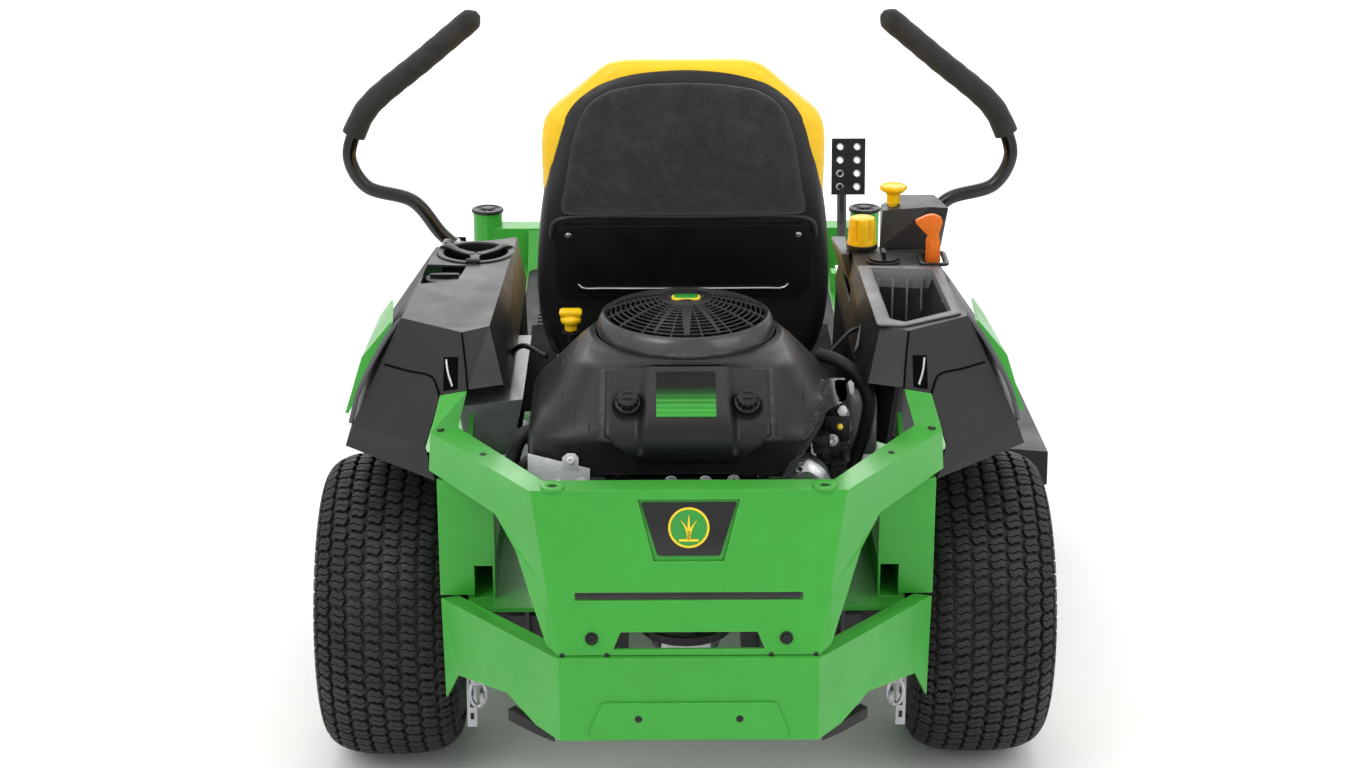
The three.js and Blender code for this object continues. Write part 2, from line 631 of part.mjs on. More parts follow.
// A hollow tyre section, open towards the rim, for a wheel whose axle lies along X.
function tyre({ radius, width, rimRadius }, wall, facets) {
  const half = width / 2;
  const bead = rimRadius + GAP;
  const height = radius - bead;
  const outline = [[bead, 0.78], [bead + 0.45 * height, 1], [bead + 0.86 * height, 0.9],
    [radius - 0.03 * height, 0.6], [radius, 0.25]];
  const outer = [...outline.map(([r, w]) => [r, w * half]),
    ...outline.slice().reverse().map(([r, w]) => [r, -w * half])];
  const inside = [[radius - wall, 0.6], [bead, 0.62]];
  const inner = [...inside.map(([r, w]) => [r, -w * half]),
    ...inside.slice().reverse().map(([r, w]) => [r, w * half])];
  return axleTurned([...outer, ...inner, outer[0]].reverse(), facets);
}

// A pressed wheel: barrel with two flanges, a dished disc and a hub around the axle.
function rim({ rimRadius, width }, hubRadius, bore, dish, facets) {
  const half = width * 0.39;
  const wall = 4;
  const hubHalf = Math.min(half, 36);
  const profile = [
    [bore, dish - hubHalf], [hubRadius, dish - wall], [rimRadius - wall, dish - wall],
    [rimRadius - wall, -half], [rimRadius, -half], [rimRadius, half], [rimRadius - wall, half],
    [rimRadius - wall, dish + wall], [hubRadius, dish + wall], [bore, dish + hubHalf], [bore, dish - hubHalf],
  ];
  return axleTurned(profile, facets);
}

function driveWheel(name, sign) {
  const place = at(sign * DRIVE_TYRE.centreX, 0, DRIVE_TYRE.radius);
  add(`${name}_drive_tyre`, tyre(DRIVE_TYRE, 20, WHEEL_FACETS), RUBBER, place);
  const disc = rim(DRIVE_TYRE, 38, 16.8, sign * 20, WHEEL_FACETS);
  add(`${name}_drive_rim`, disc, YELLOW, place);
}

function casterFork() {
  const { trail, radius, width } = CASTER;
  const crown = 2 * radius + 24;
  const pieces = [
    hull([[-66, 30, crown], [66, 30, crown], [66, -trail - 18, crown], [-66, -trail - 18, crown],
      [-60, 24, crown + 12], [60, 24, crown + 12], [60, -trail - 10, crown + 12], [-60, -trail - 10, crown + 12]]),
    rod(24, POST.bottom - 2 - crown, 0, 0, crown, 20),
    rod(POST.bore - 0.6, POST.top - 16 - crown, 0, 0, crown),
    rodX(7.5, -66, 66, -trail, radius, 12),
  ];
  [-1, 1].forEach((sign) => {
    const leg = [[-trail - 20, radius - 22], [-trail + 20, radius - 22], [26, crown + 6], [-trail - 18, crown + 6]];
    pieces.push(sidePlate(leg, sign * (width / 2 + 10), sign * (width / 2 + 16)));
  });
  return join(...pieces);
}

function casterWheel(name, place) {
  const hub = at(0, -CASTER.trail, CASTER.radius, place);
  add(`${name}_caster_tyre`, tyre(CASTER, 14, CASTER_FACETS), RUBBER, hub);
  add(`${name}_caster_rim`, rim(CASTER, 22, 8, 0, CASTER_FACETS), YELLOW, hub);
}

// ---- deck ----

function mowerDeck() {
  const d = DECK;
  const lobe = (sign, inset) => arc(sign * d.spindleX, d.centreY, d.lobe - inset, -Math.PI / 2,
    Math.PI / 2, 10).map(([x, y]) => (sign > 0 ? [x, y] : [-(x + 2 * d.spindleX), y]));
  const outline = (inset) => [
    ...lobe(1, inset),
    ...lobe(-1, inset).reverse(),
  ];
  const shell = cut(prism(outline(0), d.bottom, d.top), prism(outline(d.skin), d.bottom - 5, d.top - d.skin));
  const outlet = block([430, 640, d.bottom - 5], [560, 905, d.top - 34]);
  const spindles = [-1, 1].map((sign) => rod(40, 28, sign * d.spindleX, d.centreY, d.top - 2));
  const bores = [-1, 1].map((sign) => rod(14, 80, sign * d.spindleX, d.centreY, d.top - 40));
  const shelf = hull([[430, 640, d.top - 6], [556, 640, d.top - 6], [556, 985, d.top - 6], [430, 905, d.top - 6],
    [430, 640, d.top], [556, 640, d.top], [556, 985, d.top], [430, 905, d.top]]);
  const hangers = SIDES.flatMap(({ sign }) => [470, 850].map((y) =>
    sidePlate([[y - 16, d.top - 2], [y + 16, d.top - 2], [y + 8, 300], [y - 8, 300]], sign * 322, sign * 330)));
  const idlers = [-1, 1].flatMap((sign) => [
    rod(18, 50, sign * 96, 392, d.top - 2, 16),
    block([Math.min(sign * 70, sign * 120), 370, d.top - 8], [Math.max(sign * 70, sign * 120), 470, d.top]),
  ]);
  return cut(join(shell, ...spindles, shelf, ...idlers, ...hangers), ...bores, outlet);
}

function bladeAssembly() {
  const bar = hull([[-BLADE.length / 2, -BLADE.width / 2, BLADE.level], [BLADE.length / 2, -BLADE.width / 2, BLADE.level],
    [-BLADE.length / 2, BLADE.width / 2, BLADE.level], [BLADE.length / 2, BLADE.width / 2, BLADE.level],
    [-BLADE.length / 2, 0, BLADE.level + 6], [BLADE.length / 2, 0, BLADE.level + 6],
    [0, BLADE.width / 2, BLADE.level + 6], [0, -BLADE.width / 2, BLADE.level + 6]]);
  return join(
    bar,
    rod(12, 160, 0, 0, BLADE.level + 2, 16),
    rod(DECK_BELT.sheave - 2, DECK_BELT.height + 6, 0, 0, DECK_BELT.level - 3),
    rod(DECK_BELT.sheave + 10, 3, 0, 0, DECK_BELT.level - 6),
  );
}

function dischargeChute() {
  const inner = { x: DECK.chuteX + 18, z: DECK.top + 8 };
  const corners = {
    hingeRear: [inner.x, 640, inner.z],
    hingeFront: [inner.x, 985, inner.z + 14],
    edgeRear: [648, 640, 222],
    edgeFront: [624, 1000, 256],
    lipRear: [646, 622, 168],
    lipFront: [640, 1004, 190],
    skirtRear: [600, 618, 150],
    skirtHinge: [inner.x, 620, 170],
  };
  const faces = [
    'hingeRear hingeFront edgeFront edgeRear',
    'edgeRear edgeFront lipFront lipRear',
    'hingeRear edgeRear lipRear skirtRear skirtHinge',
  ];
  const flap = sheet(corners, faces, 5, [590, 800, 150]);
  return join(flap, rodY(6, 642, 980, inner.x, inner.z + 1, 12));
}

function liftPedal() {
  const plate = cut(
    hull(onSide(1, [[294, 1146, 553], [358, 1146, 553], [294, 1149, 553], [358, 1149, 553],
      [294, 1160, 659], [358, 1160, 659], [294, 1163, 659], [358, 1163, 659]])),
    ...[0, 1, 2, 3].flatMap((row) => [310, 342].map((x) =>
      rodY(6, 1120, 1190, x, 568 + row * 25, 6))),
  );
  const arm = bentBar([[314, 1152, 566], [314, 1130, 500], [312, 1060, 446], [312, 1024, 436]], 9,
    { facets: 3, steps: 8 });
  const sleeve = cut(join(arm, rodX(13, 300, 326, PEDAL.y, PEDAL.z)),
    rodX(PEDAL.pin + RUNNING, 296, 332, PEDAL.y, PEDAL.z));
  return join(plate, sleeve, hull([[305, 1152, 560], [323, 1152, 560],
    [305, 1152, 600], [323, 1152, 600], [305, 1148, 560], [323, 1148, 560], [305, 1153, 600], [323, 1153, 600]]));
}

// ---- seat ----

// Half the width of the backrest at a height, as an outline from the foot up and back down.
function backOutline(inset) {
  const rise = [[196, SEAT.backFoot], [212, 640], [SEAT.half, 730], [SEAT.half + 4, 900], [SEAT.half + 3, 950],
    [212, 973], [184, 998], [150, 1024], [128, 1048], [96, 1055]].map(([x, z]) => [x - inset, z]);
  return [...rise, ...rise.slice().reverse().map(([x, z]) => [-x, z])];
}

// The backrest leans back: a point at height z moves along Y in proportion.
function raked(geometry, rear) {
  const lean = new THREE.Matrix4().set(1, 0, 0, 0, 0, 1, SEAT.backRake, rear - 731 * SEAT.backRake,
    0, 0, 1, 0, 0, 0, 0, 1);
  return geometry.applyMatrix4(lean);
}

function uprightPlate(outline, depth) {
  const plate = prism(outline, 0, depth);
  return plate.rotateX(Math.PI / 2).translate(0, depth, 0);
}

const seatBack = () => raked(uprightPlate(backOutline(0), SEAT.backDepth), 118);

function seatBackPanel() {
  const outline = [[-186, 676], [186, 676], [192, 690], [192, 776], [178, 790], [-178, 790], [-192, 776],
    [-192, 690]];
  return raked(uprightPlate(outline, 8), 109);
}

function seatCushion() {
  return hull([-1, 1].flatMap((sign) => onSide(sign, [
    [200, 236, 541], [200, 590, 541], [214, 234, 590], [214, 604, 590], [206, 228, 646], [202, 604, 630],
    [184, 240, 656], [178, 592, 642],
  ])));
}

function seatPan() {
  const plate = block([-200, 176, 499], [200, 566, 505]);
  const carrier = block([-190, 190, 504], [190, 586, 540]);
  const hollow = block([-184, 196, 498], [184, 580, 536]);
  const lugs = [-1, 1].map((sign) => sideBlock(sign, [150, 560, 479], [170, 602, 506]));
  return cut(join(cut(join(plate, carrier), hollow), ...lugs),
    rodX(SEAT.pin + RUNNING, -200, 200, SEAT.hingeY, SEAT.hingeZ, 12));
}

// ---- controls ----

function leverBracket(sign) {
  const body = hull(onSide(sign, [[348, 480, 584], [392, 480, 584], [348, 510, 584], [392, 510, 584],
    [346, 480, 624], [394, 480, 624], [346, 510, 624], [394, 510, 624]]));
  const ears = [[476, 483], [507, 510]].map(([rear, front]) => hull(onSide(sign, [
    [350, rear, 618], [390, rear, 618], [350, front, 618], [390, front, 618],
    [354, rear, 656], [386, rear, 656], [354, front, 656], [386, front, 656]])));
  const sleeve = rodX(13, sign * 336, sign * 404, LEVER.y, LEVER.hingeZ);
  return cut(join(body, ...ears, sleeve), rodX(LEVER.pin + RUNNING, sign * 330, sign * 410, LEVER.y, LEVER.hingeZ));
}

const leverPath = (sign) => onSide(sign, [[LEVER.pivotX, LEVER.y, LEVER.pivotZ + 8], [394, LEVER.y, 667],
  [437, LEVER.y, 721], [513, LEVER.y, 747], [538, LEVER.y, 796], [520, LEVER.y, 853], [499, LEVER.y, 884],
  [411, LEVER.y, 957], [323, LEVER.y, 1030]]);

function controlLever(sign) {
  const knuckle = rodY(15, 484.5, 505.5, sign * LEVER.pivotX, LEVER.pivotZ + 4, 16);
  return join(bentBar(leverPath(sign), LEVER.tube, { to: 0.985 }), knuckle);
}

const grip = (sign) => bentBar(leverPath(sign), LEVER.grip, { bore: LEVER.tube + 1.4, steps: 8,
  from: 0.5, to: 1 });

function throttleLever() {
  const stem = hull([[-8, -6, 4], [8, -6, 4], [8, 6, 4], [-8, 6, 4], [-10, -4, 52], [8, -4, 52], [8, 4, 52],
    [-10, 4, 52]]);
  const head = hull([[-8, -7, 44], [10, -7, 44], [-30, -6, 66], [14, -6, 70], [-8, 7, 44], [10, 7, 44],
    [-30, 6, 66], [14, 6, 70], [-8, 0, 78]]);
  return join(stem, head, rodX(6, -10, 10, 0, 2, 12));
}

function heightKnob() {
  const flutes = Array.from({ length: 6 }, (_, i) =>
    rod(4, 60, 24 * Math.cos((i * Math.PI) / 3), 24 * Math.sin((i * Math.PI) / 3), 10, 8));
  return join(cut(turned([[0, 0], [22.5, 0], [22.5, 8], [20, 40], [16, 44], [0, 44]]), ...flutes),
    rod(8.4, 18, 0, 0, -17, 16));
}

const ptoKnob = () => join(turned([[0, 12], [9, 12], [9, 28], [19, 31], [21, 36], [18, 41], [0, 43]], 20),
  rod(8.6, 30, 0, 0, -16, 16));

const ignitionKey = () => join(rod(23, 5, 0, 0, 0), block([-3, -13, 4], [3, 13, 16]), rod(8, 18, 0, 0, -17, 16));

function dipstick() {
  const loop = turned([[5, -4], [11, -4], [11, 4], [5, 4], [5, -4]], 14).rotateX(Math.PI / 2);
  return join(rod(9, 12, 0, 0, 0, 14), loop.translate(0, 0, 20), rod(3, 130, 0, 0, -129, 8));
}

function bypassRod(sign) {
  const x = sign * 288;
  const eye = turned([[7, -3], [13, -3], [13, 3], [7, 3], [7, -3]], 14).rotateY(Math.PI / 2);
  return join(rodY(3.5, -286, -104, x, 214, 8), eye.translate(x, -296, 214));
}

const fuelCap = () => join(rod(31, 16, 0, 0, 0), block([-6, -26, 14], [6, 26, 22]));

// ---- putting it together ----

add('main_frame', mainFrame(), GREEN);
add('rear_guard', rearGuard(), GREEN);
add('rear_bumper', rearBumper(), GREEN);
add('left_fender', leftFender(), BLACK_PLASTIC);
add('right_fender', rightFender(), BLACK_PLASTIC);
add('control_panel', controlPanel(), BLACK_PLASTIC);
add('floor_pan', floorPan(), GREEN);
add('seat_base', seatBase(), BLACK_PAINT);
add('fuel_tank', fuelTank(), GREY_PLASTIC);
add('battery', block([-98, 190, RAIL.bottom + 4 + GAP], [98, 322, 478]), BLACK_PLASTIC);
add('engine_block', engineBlock(), CAST);
add('engine_shroud', engineShroud(), BLACK_PLASTIC);
add('air_filter_cover', airFilterCover(), BLACK_PLASTIC);
add('muffler', muffler(), BLACK_PAINT);
add('traction_belt', tractionBelt(), RUBBER);
SIDES.forEach(({ side, sign }) => {
  add(`${side}_fender_trim`, fenderTrim(sign), GREEN);
  add(`${side}_transaxle`, transaxle(sign), BLACK_PAINT);
  driveWheel(side, sign);
});

const crank = at(0, CRANK.y, 0);
add('fan_guard', fanGuard(), BLACK_PLASTIC, crank);
add('cooling_fan', coolingFan(), BLACK_PLASTIC, crank);
add('crank_pulley', crankPulley(), STEEL, crank);
SIDES.forEach(({ side, sign }) => {
  add(`${side}_input_pulley`, inputPulley(), STEEL, at(sign * TRACTION.inputX, TRACTION.inputY, 0));
});

SIDES.forEach(({ side, sign }) => {
  const pivot = at(sign * CASTER.pivotX, CASTER.pivotY, 0);
  add(`${side}_caster_fork`, casterFork(), GREEN, pivot);
  casterWheel(side, pivot);
});

add('mower_deck', mowerDeck(), GREEN);
add('deck_belt', deckBelt(), RUBBER);
add('discharge_chute', dischargeChute(), BLACK_PLASTIC);
add('lift_pedal', liftPedal(), BLACK_PAINT);
SIDES.forEach(({ side, sign }) => {
  add(`${side}_blade`, bladeAssembly(), STEEL, at(sign * DECK.spindleX, DECK.centreY, 0));
});

add('seat_pan', seatPan(), BLACK_PAINT);
add('seat_cushion', seatCushion(), YELLOW);
add('seat_back', seatBack(), FELT);
add('seat_back_panel', seatBackPanel(), BLACK_PLASTIC);

SIDES.forEach(({ side, sign }) => {
  add(`${side}_lever_bracket`, leverBracket(sign), BLACK_PAINT);
  add(`${side}_control_lever`, controlLever(sign), BLACK_PAINT);
  add(`${side}_grip`, grip(sign), RUBBER);
  add(`${side}_bypass_rod`, bypassRod(sign), STEEL);
  const knobPlace = at(sign * 80, -338, 674);
  add(`${side}_filter_knob`, filterKnob().rotateX(0.72), BLACK_PLASTIC, knobPlace);
});
add('throttle_lever', throttleLever(), ORANGE, at(389, 254, 684));
add('height_knob', heightKnob(), YELLOW, at(284, 320, 696));
add('pto_knob', ptoKnob(), YELLOW, at(336, 366, 738));
add('ignition_key', ignitionKey(), BLACK_PLASTIC, at(312, 250, 691));
add('fuel_cap', fuelCap(), BLACK_PLASTIC, at(-362, 168, 668 + GAP));
add('dipstick', dipstick(), YELLOW, at(-165, -20, 668));

group.updateMatrixWorld(true);
const extent = new THREE.Box3().setFromObject(group, true);
const middle = extent.getCenter(new THREE.Vector3());
group.position.set(-middle.x, -middle.y, -extent.min.z);
group.updateMatrixWorld(true);

export default group;
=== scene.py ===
import math

import bmesh
import bpy
from mathutils import Matrix, Vector, noise


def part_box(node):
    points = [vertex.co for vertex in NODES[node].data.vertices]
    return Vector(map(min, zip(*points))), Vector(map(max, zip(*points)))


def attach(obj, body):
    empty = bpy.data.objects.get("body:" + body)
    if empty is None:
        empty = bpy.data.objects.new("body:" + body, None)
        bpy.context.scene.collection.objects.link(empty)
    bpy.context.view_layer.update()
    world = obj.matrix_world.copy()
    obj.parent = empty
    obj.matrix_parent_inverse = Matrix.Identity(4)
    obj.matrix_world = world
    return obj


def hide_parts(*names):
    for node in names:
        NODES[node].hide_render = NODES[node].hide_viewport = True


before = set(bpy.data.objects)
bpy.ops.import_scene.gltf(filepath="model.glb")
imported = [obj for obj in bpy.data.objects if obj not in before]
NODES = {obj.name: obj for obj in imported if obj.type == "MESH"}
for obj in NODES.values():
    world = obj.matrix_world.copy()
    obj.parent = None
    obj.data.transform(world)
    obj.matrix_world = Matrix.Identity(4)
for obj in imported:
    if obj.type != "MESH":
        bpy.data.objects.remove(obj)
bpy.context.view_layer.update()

SIDES = (("left", -1), ("right", 1))

# Lengths below are millimetres from the ground under the middle of the rear axle:
# x to the machine's right, y forward, z up.
TYRE_BOXES = [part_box(f"{side}_drive_tyre") for side, _ in SIDES]
AXLE = Vector(((TYRE_BOXES[0][0].x + TYRE_BOXES[1][1].x) / 2,
               (TYRE_BOXES[0][0].y + TYRE_BOXES[0][1].y) / 2, TYRE_BOXES[0][0].z))
MM = 0.001


def place(point):
    return AXLE + Vector(point) * MM


# ---------------------------------------------------------------- materials

def linear(red, green, blue):
    return tuple((c / 255 / 12.92) if c <= 10 else ((c / 255 + 0.055) / 1.055) ** 2.4
                 for c in (red, green, blue))


class Finish:
    """A procedural material: base colour with slow and fine variation, roughness variation, grain bumps."""

    def __init__(self, name, color, rough, metal=0.0, coat=0.0, sheen=0.0, specular=0.5):
        self.material = bpy.data.materials.new(name)
        self.material.use_nodes = True
        self.tree = self.material.node_tree
        self.shader = self.tree.nodes["Principled BSDF"]
        self.coords = self.node("ShaderNodeTexCoord").outputs["Object"]
        self.shader.inputs["Metallic"].default_value = metal
        self.shader.inputs["Coat Weight"].default_value = coat
        self.shader.inputs["Coat Roughness"].default_value = 0.12
        self.shader.inputs["Sheen Weight"].default_value = sheen
        self.shader.inputs["Specular IOR Level"].default_value = specular
        rgb = self.node("ShaderNodeRGB")
        rgb.outputs[0].default_value = (*color, 1)
        self.color = rgb.outputs[0]
        value = self.node("ShaderNodeValue")
        value.outputs[0].default_value = rough
        self.rough = value.outputs[0]
        self.normal = None

    def node(self, kind, **settings):
        made = self.tree.nodes.new(kind)
        for key, value in settings.items():
            setattr(made, key, value)
        return made

    def link(self, source, target):
        self.tree.links.new(source, target)

    def noise(self, scale, detail=4.0, stretch=(1, 1, 1), kind="noise"):
        mapping = self.node("ShaderNodeMapping")
        mapping.inputs["Scale"].default_value = stretch
        self.link(self.coords, mapping.inputs["Vector"])
        if kind == "cells":
            made = self.node("ShaderNodeTexVoronoi")
            made.inputs["Scale"].default_value = scale
            self.link(mapping.outputs[0], made.inputs["Vector"])
            return made.outputs["Distance"]
        made = self.node("ShaderNodeTexNoise")
        made.inputs["Scale"].default_value = scale
        made.inputs["Detail"].default_value = detail
        made.inputs["Roughness"].default_value = 0.6
        self.link(mapping.outputs[0], made.inputs["Vector"])
        return made.outputs[0]

    def ramp(self, source, low, high, to_low=0.0, to_high=1.0):
        made = self.node("ShaderNodeMapRange")
        made.interpolation_type = "SMOOTHSTEP"
        for key, value in (("From Min", low), ("From Max", high), ("To Min", to_low), ("To Max", to_high)):
            made.inputs[key].default_value = value
        self.link(source, made.inputs["Value"])
        return made.outputs["Result"]

    def math(self, operation, a, b):
        made = self.node("ShaderNodeMath", operation=operation)
        for slot, value in zip(made.inputs, (a, b)):
            if isinstance(value, (int, float)):
                slot.default_value = value
            else:
                self.link(value, slot)
        return made.outputs[0]

    def blend(self, factor, color, mode="MIX"):
        made = self.node("ShaderNodeMix", data_type="RGBA", blend_type=mode)
        self.link(factor, made.inputs["Factor"])
        self.link(self.color, made.inputs[6])
        if isinstance(color, tuple):
            made.inputs[7].default_value = (*color, 1)
        else:
            self.link(color, made.inputs[7])
        self.color = made.outputs[2]
        return self

    def tone(self, scale, low, high, strength=1.0, detail=4.0, stretch=(1, 1, 1)):
        """Multiplies the colour by a grey between low and high, following a noise."""
        source = self.ramp(self.noise(scale, detail, stretch), 0.3, 0.7, low, high)
        grey = self.node("ShaderNodeCombineColor")
        for slot in grey.inputs[:3]:
            self.link(source, slot)
        factor = self.node("ShaderNodeValue")
        factor.outputs[0].default_value = strength
        return self.blend(factor.outputs[0], grey.outputs[0], "MULTIPLY")

    def speckle(self, scale, low, high, color, amount=1.0, detail=3.0, stretch=(1, 1, 1)):
        """Mixes in another colour where a noise is above a level."""
        return self.blend(self.ramp(self.noise(scale, detail, stretch), low, high, 0.0, amount), color)

    def upward(self, color, amount, low=0.4, high=1.0):
        """Settled dust: mixes in a colour on faces that look up."""
        geometry = self.node("ShaderNodeNewGeometry")
        split = self.node("ShaderNodeSeparateXYZ")
        self.link(geometry.outputs["Normal"], split.inputs[0])
        facing = self.ramp(split.outputs["Z"], low, high)
        patches = self.ramp(self.noise(14, 6), 0.35, 0.75, 0.4, 1.0)
        return self.blend(self.math("MULTIPLY", self.math("MULTIPLY", facing, patches), amount), color)

    def edges(self, color, amount, radius=0.0022):
        """Painted highlight along sharp edges, partly edge wear: mixes in a colour where the surface turns sharply."""
        bevel = self.node("ShaderNodeBevel", samples=4)
        bevel.inputs["Radius"].default_value = radius
        geometry = self.node("ShaderNodeNewGeometry")
        dot = self.node("ShaderNodeVectorMath", operation="DOT_PRODUCT")
        self.link(bevel.outputs[0], dot.inputs[0])
        self.link(geometry.outputs["Normal"], dot.inputs[1])
        edge = self.ramp(dot.outputs["Value"], 0.995, 0.86, 0.0, 1.0)
        broken = self.ramp(self.noise(90, 5), 0.35, 0.65, 0.25, 1.0)
        return self.blend(self.math("MULTIPLY", self.math("MULTIPLY", edge, broken), amount), color)

    def gloss(self, scale, low, high, detail=4.0, stretch=(1, 1, 1)):
        """Adds a roughness change between low and high, following a noise."""
        self.rough = self.math("ADD", self.rough, self.ramp(self.noise(scale, detail, stretch), 0.3, 0.7, low, high))
        return self

    def grain(self, scale, height, kind="noise", detail=2.0, stretch=(1, 1, 1)):
        """Adds a bump of the given height in millimetres."""
        bump = self.node("ShaderNodeBump")
        bump.inputs["Strength"].default_value = 1.0
        bump.inputs["Distance"].default_value = height * MM
        self.link(self.noise(scale, detail, stretch, kind), bump.inputs["Height"])
        if self.normal is not None:
            self.link(self.normal, bump.inputs["Normal"])
        self.normal = bump.outputs[0]
        return self

    def done(self):
        self.link(self.color, self.shader.inputs["Base Color"])
        self.link(self.rough, self.shader.inputs["Roughness"])
        if self.normal is not None:
            self.link(self.normal, self.shader.inputs["Normal"])
        return self.material


def green_paint():
    f = Finish("green_paint", linear(58, 162, 54), 0.36, coat=0.12, specular=0.35)
    f.tone(3.5, 0.93, 1.05).tone(40, 0.97, 1.03).upward(linear(110, 160, 80), 0.12)
    # the lighter green on the sharp edges is a painted highlight
    f.edges(linear(150, 215, 130), 0.35)
    return f.gloss(9, -0.05, 0.08).grain(700, 0.018).grain(160, 0.02).done()


def yellow_paint():
    f = Finish("yellow_paint", linear(255, 200, 8), 0.32, coat=0.3)
    # the paler yellow on the sharp edges is a painted highlight
    f.tone(6, 0.92, 1.04).edges(linear(255, 228, 120), 0.4).upward(linear(200, 180, 130), 0.15)
    return f.gloss(12, -0.05, 0.1).grain(600, 0.02).done()


def black_paint(name="black_paint", shade=12, rough=0.34):
    f = Finish(name, linear(shade, shade, shade + 1), rough, coat=0.15)
    # the grey on the sharp edges is partly painted highlight, partly wear
    f.tone(8, 0.8, 1.2).edges(linear(96, 96, 95), 0.25).upward(linear(110, 106, 98), 0.05)
    return f.gloss(20, -0.06, 0.12).grain(650, 0.02).done()


def moulded(name, color, rough, height=0.06, scale=900, dust=0.1):
    f = Finish(name, color, rough, specular=0.38)
    f.tone(5, 0.9, 1.1).tone(260, 0.94, 1.06, detail=2.0)
    # the grey on the sharp edges is a painted highlight on the dark plastics, partly wear
    f.upward(linear(150, 150, 150), dust).edges(linear(104, 104, 104), 0.3)
    f.gloss(11, -0.06, 0.08)
    return f.grain(scale, height, "cells").grain(scale * 0.4, height * 0.5).done()


def rubber(name="tyre_rubber", shade=22, rough=0.6):
    f = Finish(name, linear(shade, shade, shade), rough)
    f.tone(7, 0.75, 1.25).speckle(60, 0.55, 0.85, linear(84, 82, 78), 0.35, 6)
    # the grey on the sharp edges is partly painted highlight, partly wear
    f.upward(linear(100, 96, 88), 0.15).edges(linear(96, 96, 96), 0.35, 0.0016)
    return f.gloss(15, -0.1, 0.12).grain(420, 0.12).grain(1400, 0.04).done()


def foam():
    f = Finish("grip_foam", linear(26, 26, 26), 0.75, sheen=0.2)
    f.tone(30, 0.8, 1.15).tone(500, 0.75, 1.2, detail=3.0)
    return f.gloss(40, -0.08, 0.1).grain(520, 0.22, "cells").grain(1300, 0.1).done()


def vinyl(name, color, rough=0.46):
    f = Finish(name, color, rough, sheen=0.08, coat=0.06)
    f.tone(4, 0.94, 1.03).tone(70, 0.97, 1.03).speckle(420, 0.62, 0.8, tuple(c * 0.72 for c in color), 0.2)
    return f.gloss(10, -0.06, 0.08).grain(330, 0.16, "cells").grain(900, 0.05).done()


def felt():
    f = Finish("backing_felt", linear(24, 24, 25), 0.95, sheen=0.45)
    f.tone(16, 0.55, 1.6, detail=8.0).tone(55, 0.6, 1.7, detail=8.0)
    f.speckle(900, 0.55, 0.75, linear(104, 104, 106), 0.45, 2)
    return f.grain(700, 0.5, detail=6.0).grain(120, 0.7, detail=5.0).done()


def metal(name, color, rough, stretch=(1, 1, 1), height=0.03, metallic=1.0):
    f = Finish(name, color, rough, metal=metallic)
    f.tone(20, 0.82, 1.08).tone(240, 0.9, 1.06, stretch=stretch)
    f.speckle(45, 0.62, 0.8, tuple(c * 0.45 for c in color), 0.4, 6)
    return f.gloss(35, -0.08, 0.14, stretch=stretch).grain(520, height, detail=3.0, stretch=stretch).done()


def plain(name, color, rough, tone=0.06, height=0.02, coat=0.0, specular=0.5):
    f = Finish(name, color, rough, coat=coat, specular=specular)
    f.tone(9, 1 - tone, 1 + tone).tone(180, 1 - tone / 2, 1 + tone / 2)
    return f.gloss(16, -0.05, 0.07).grain(700, height).done()


def tank_plastic():
    f = Finish("tank_plastic", linear(142, 144, 146), 0.36, coat=0.1)
    f.shader.inputs["Subsurface Weight"].default_value = 0.25
    f.shader.inputs["Subsurface Radius"].default_value = (0.02, 0.02, 0.02)
    # the near-white on the edges is a painted highlight
    f.tone(6, 0.6, 1.25).tone(50, 0.95, 1.05).edges(linear(210, 212, 214), 0.4, 0.004)
    return f.gloss(9, -0.08, 0.08).grain(300, 0.08).done()


def label():
    """A plain printed label: dark at the top, green at the foot, with pale rules and no lettering."""
    f = Finish("engine_label", linear(6, 14, 9), 0.4, specular=0.2)
    split = f.node("ShaderNodeSeparateXYZ")
    f.link(f.coords, split.inputs[0])
    low, high = place((0, 0, 664)).z, place((0, 0, 706)).z
    f.blend(f.ramp(split.outputs["Z"], low + 0.024, low, 0.0, 1.0), linear(52, 150, 52))
    rules = f.math("MULTIPLY", f.ramp(f.math("SINE", f.math("MULTIPLY", split.outputs["Z"], 1400), 0), 0.6, 0.8),
                   f.ramp(split.outputs["Z"], low + 0.016, low + 0.012, 0.0, 0.5))
    f.blend(rules, linear(96, 184, 84))
    return f.tone(60, 0.96, 1.04).gloss(20, -0.05, 0.08).grain(900, 0.01).done()


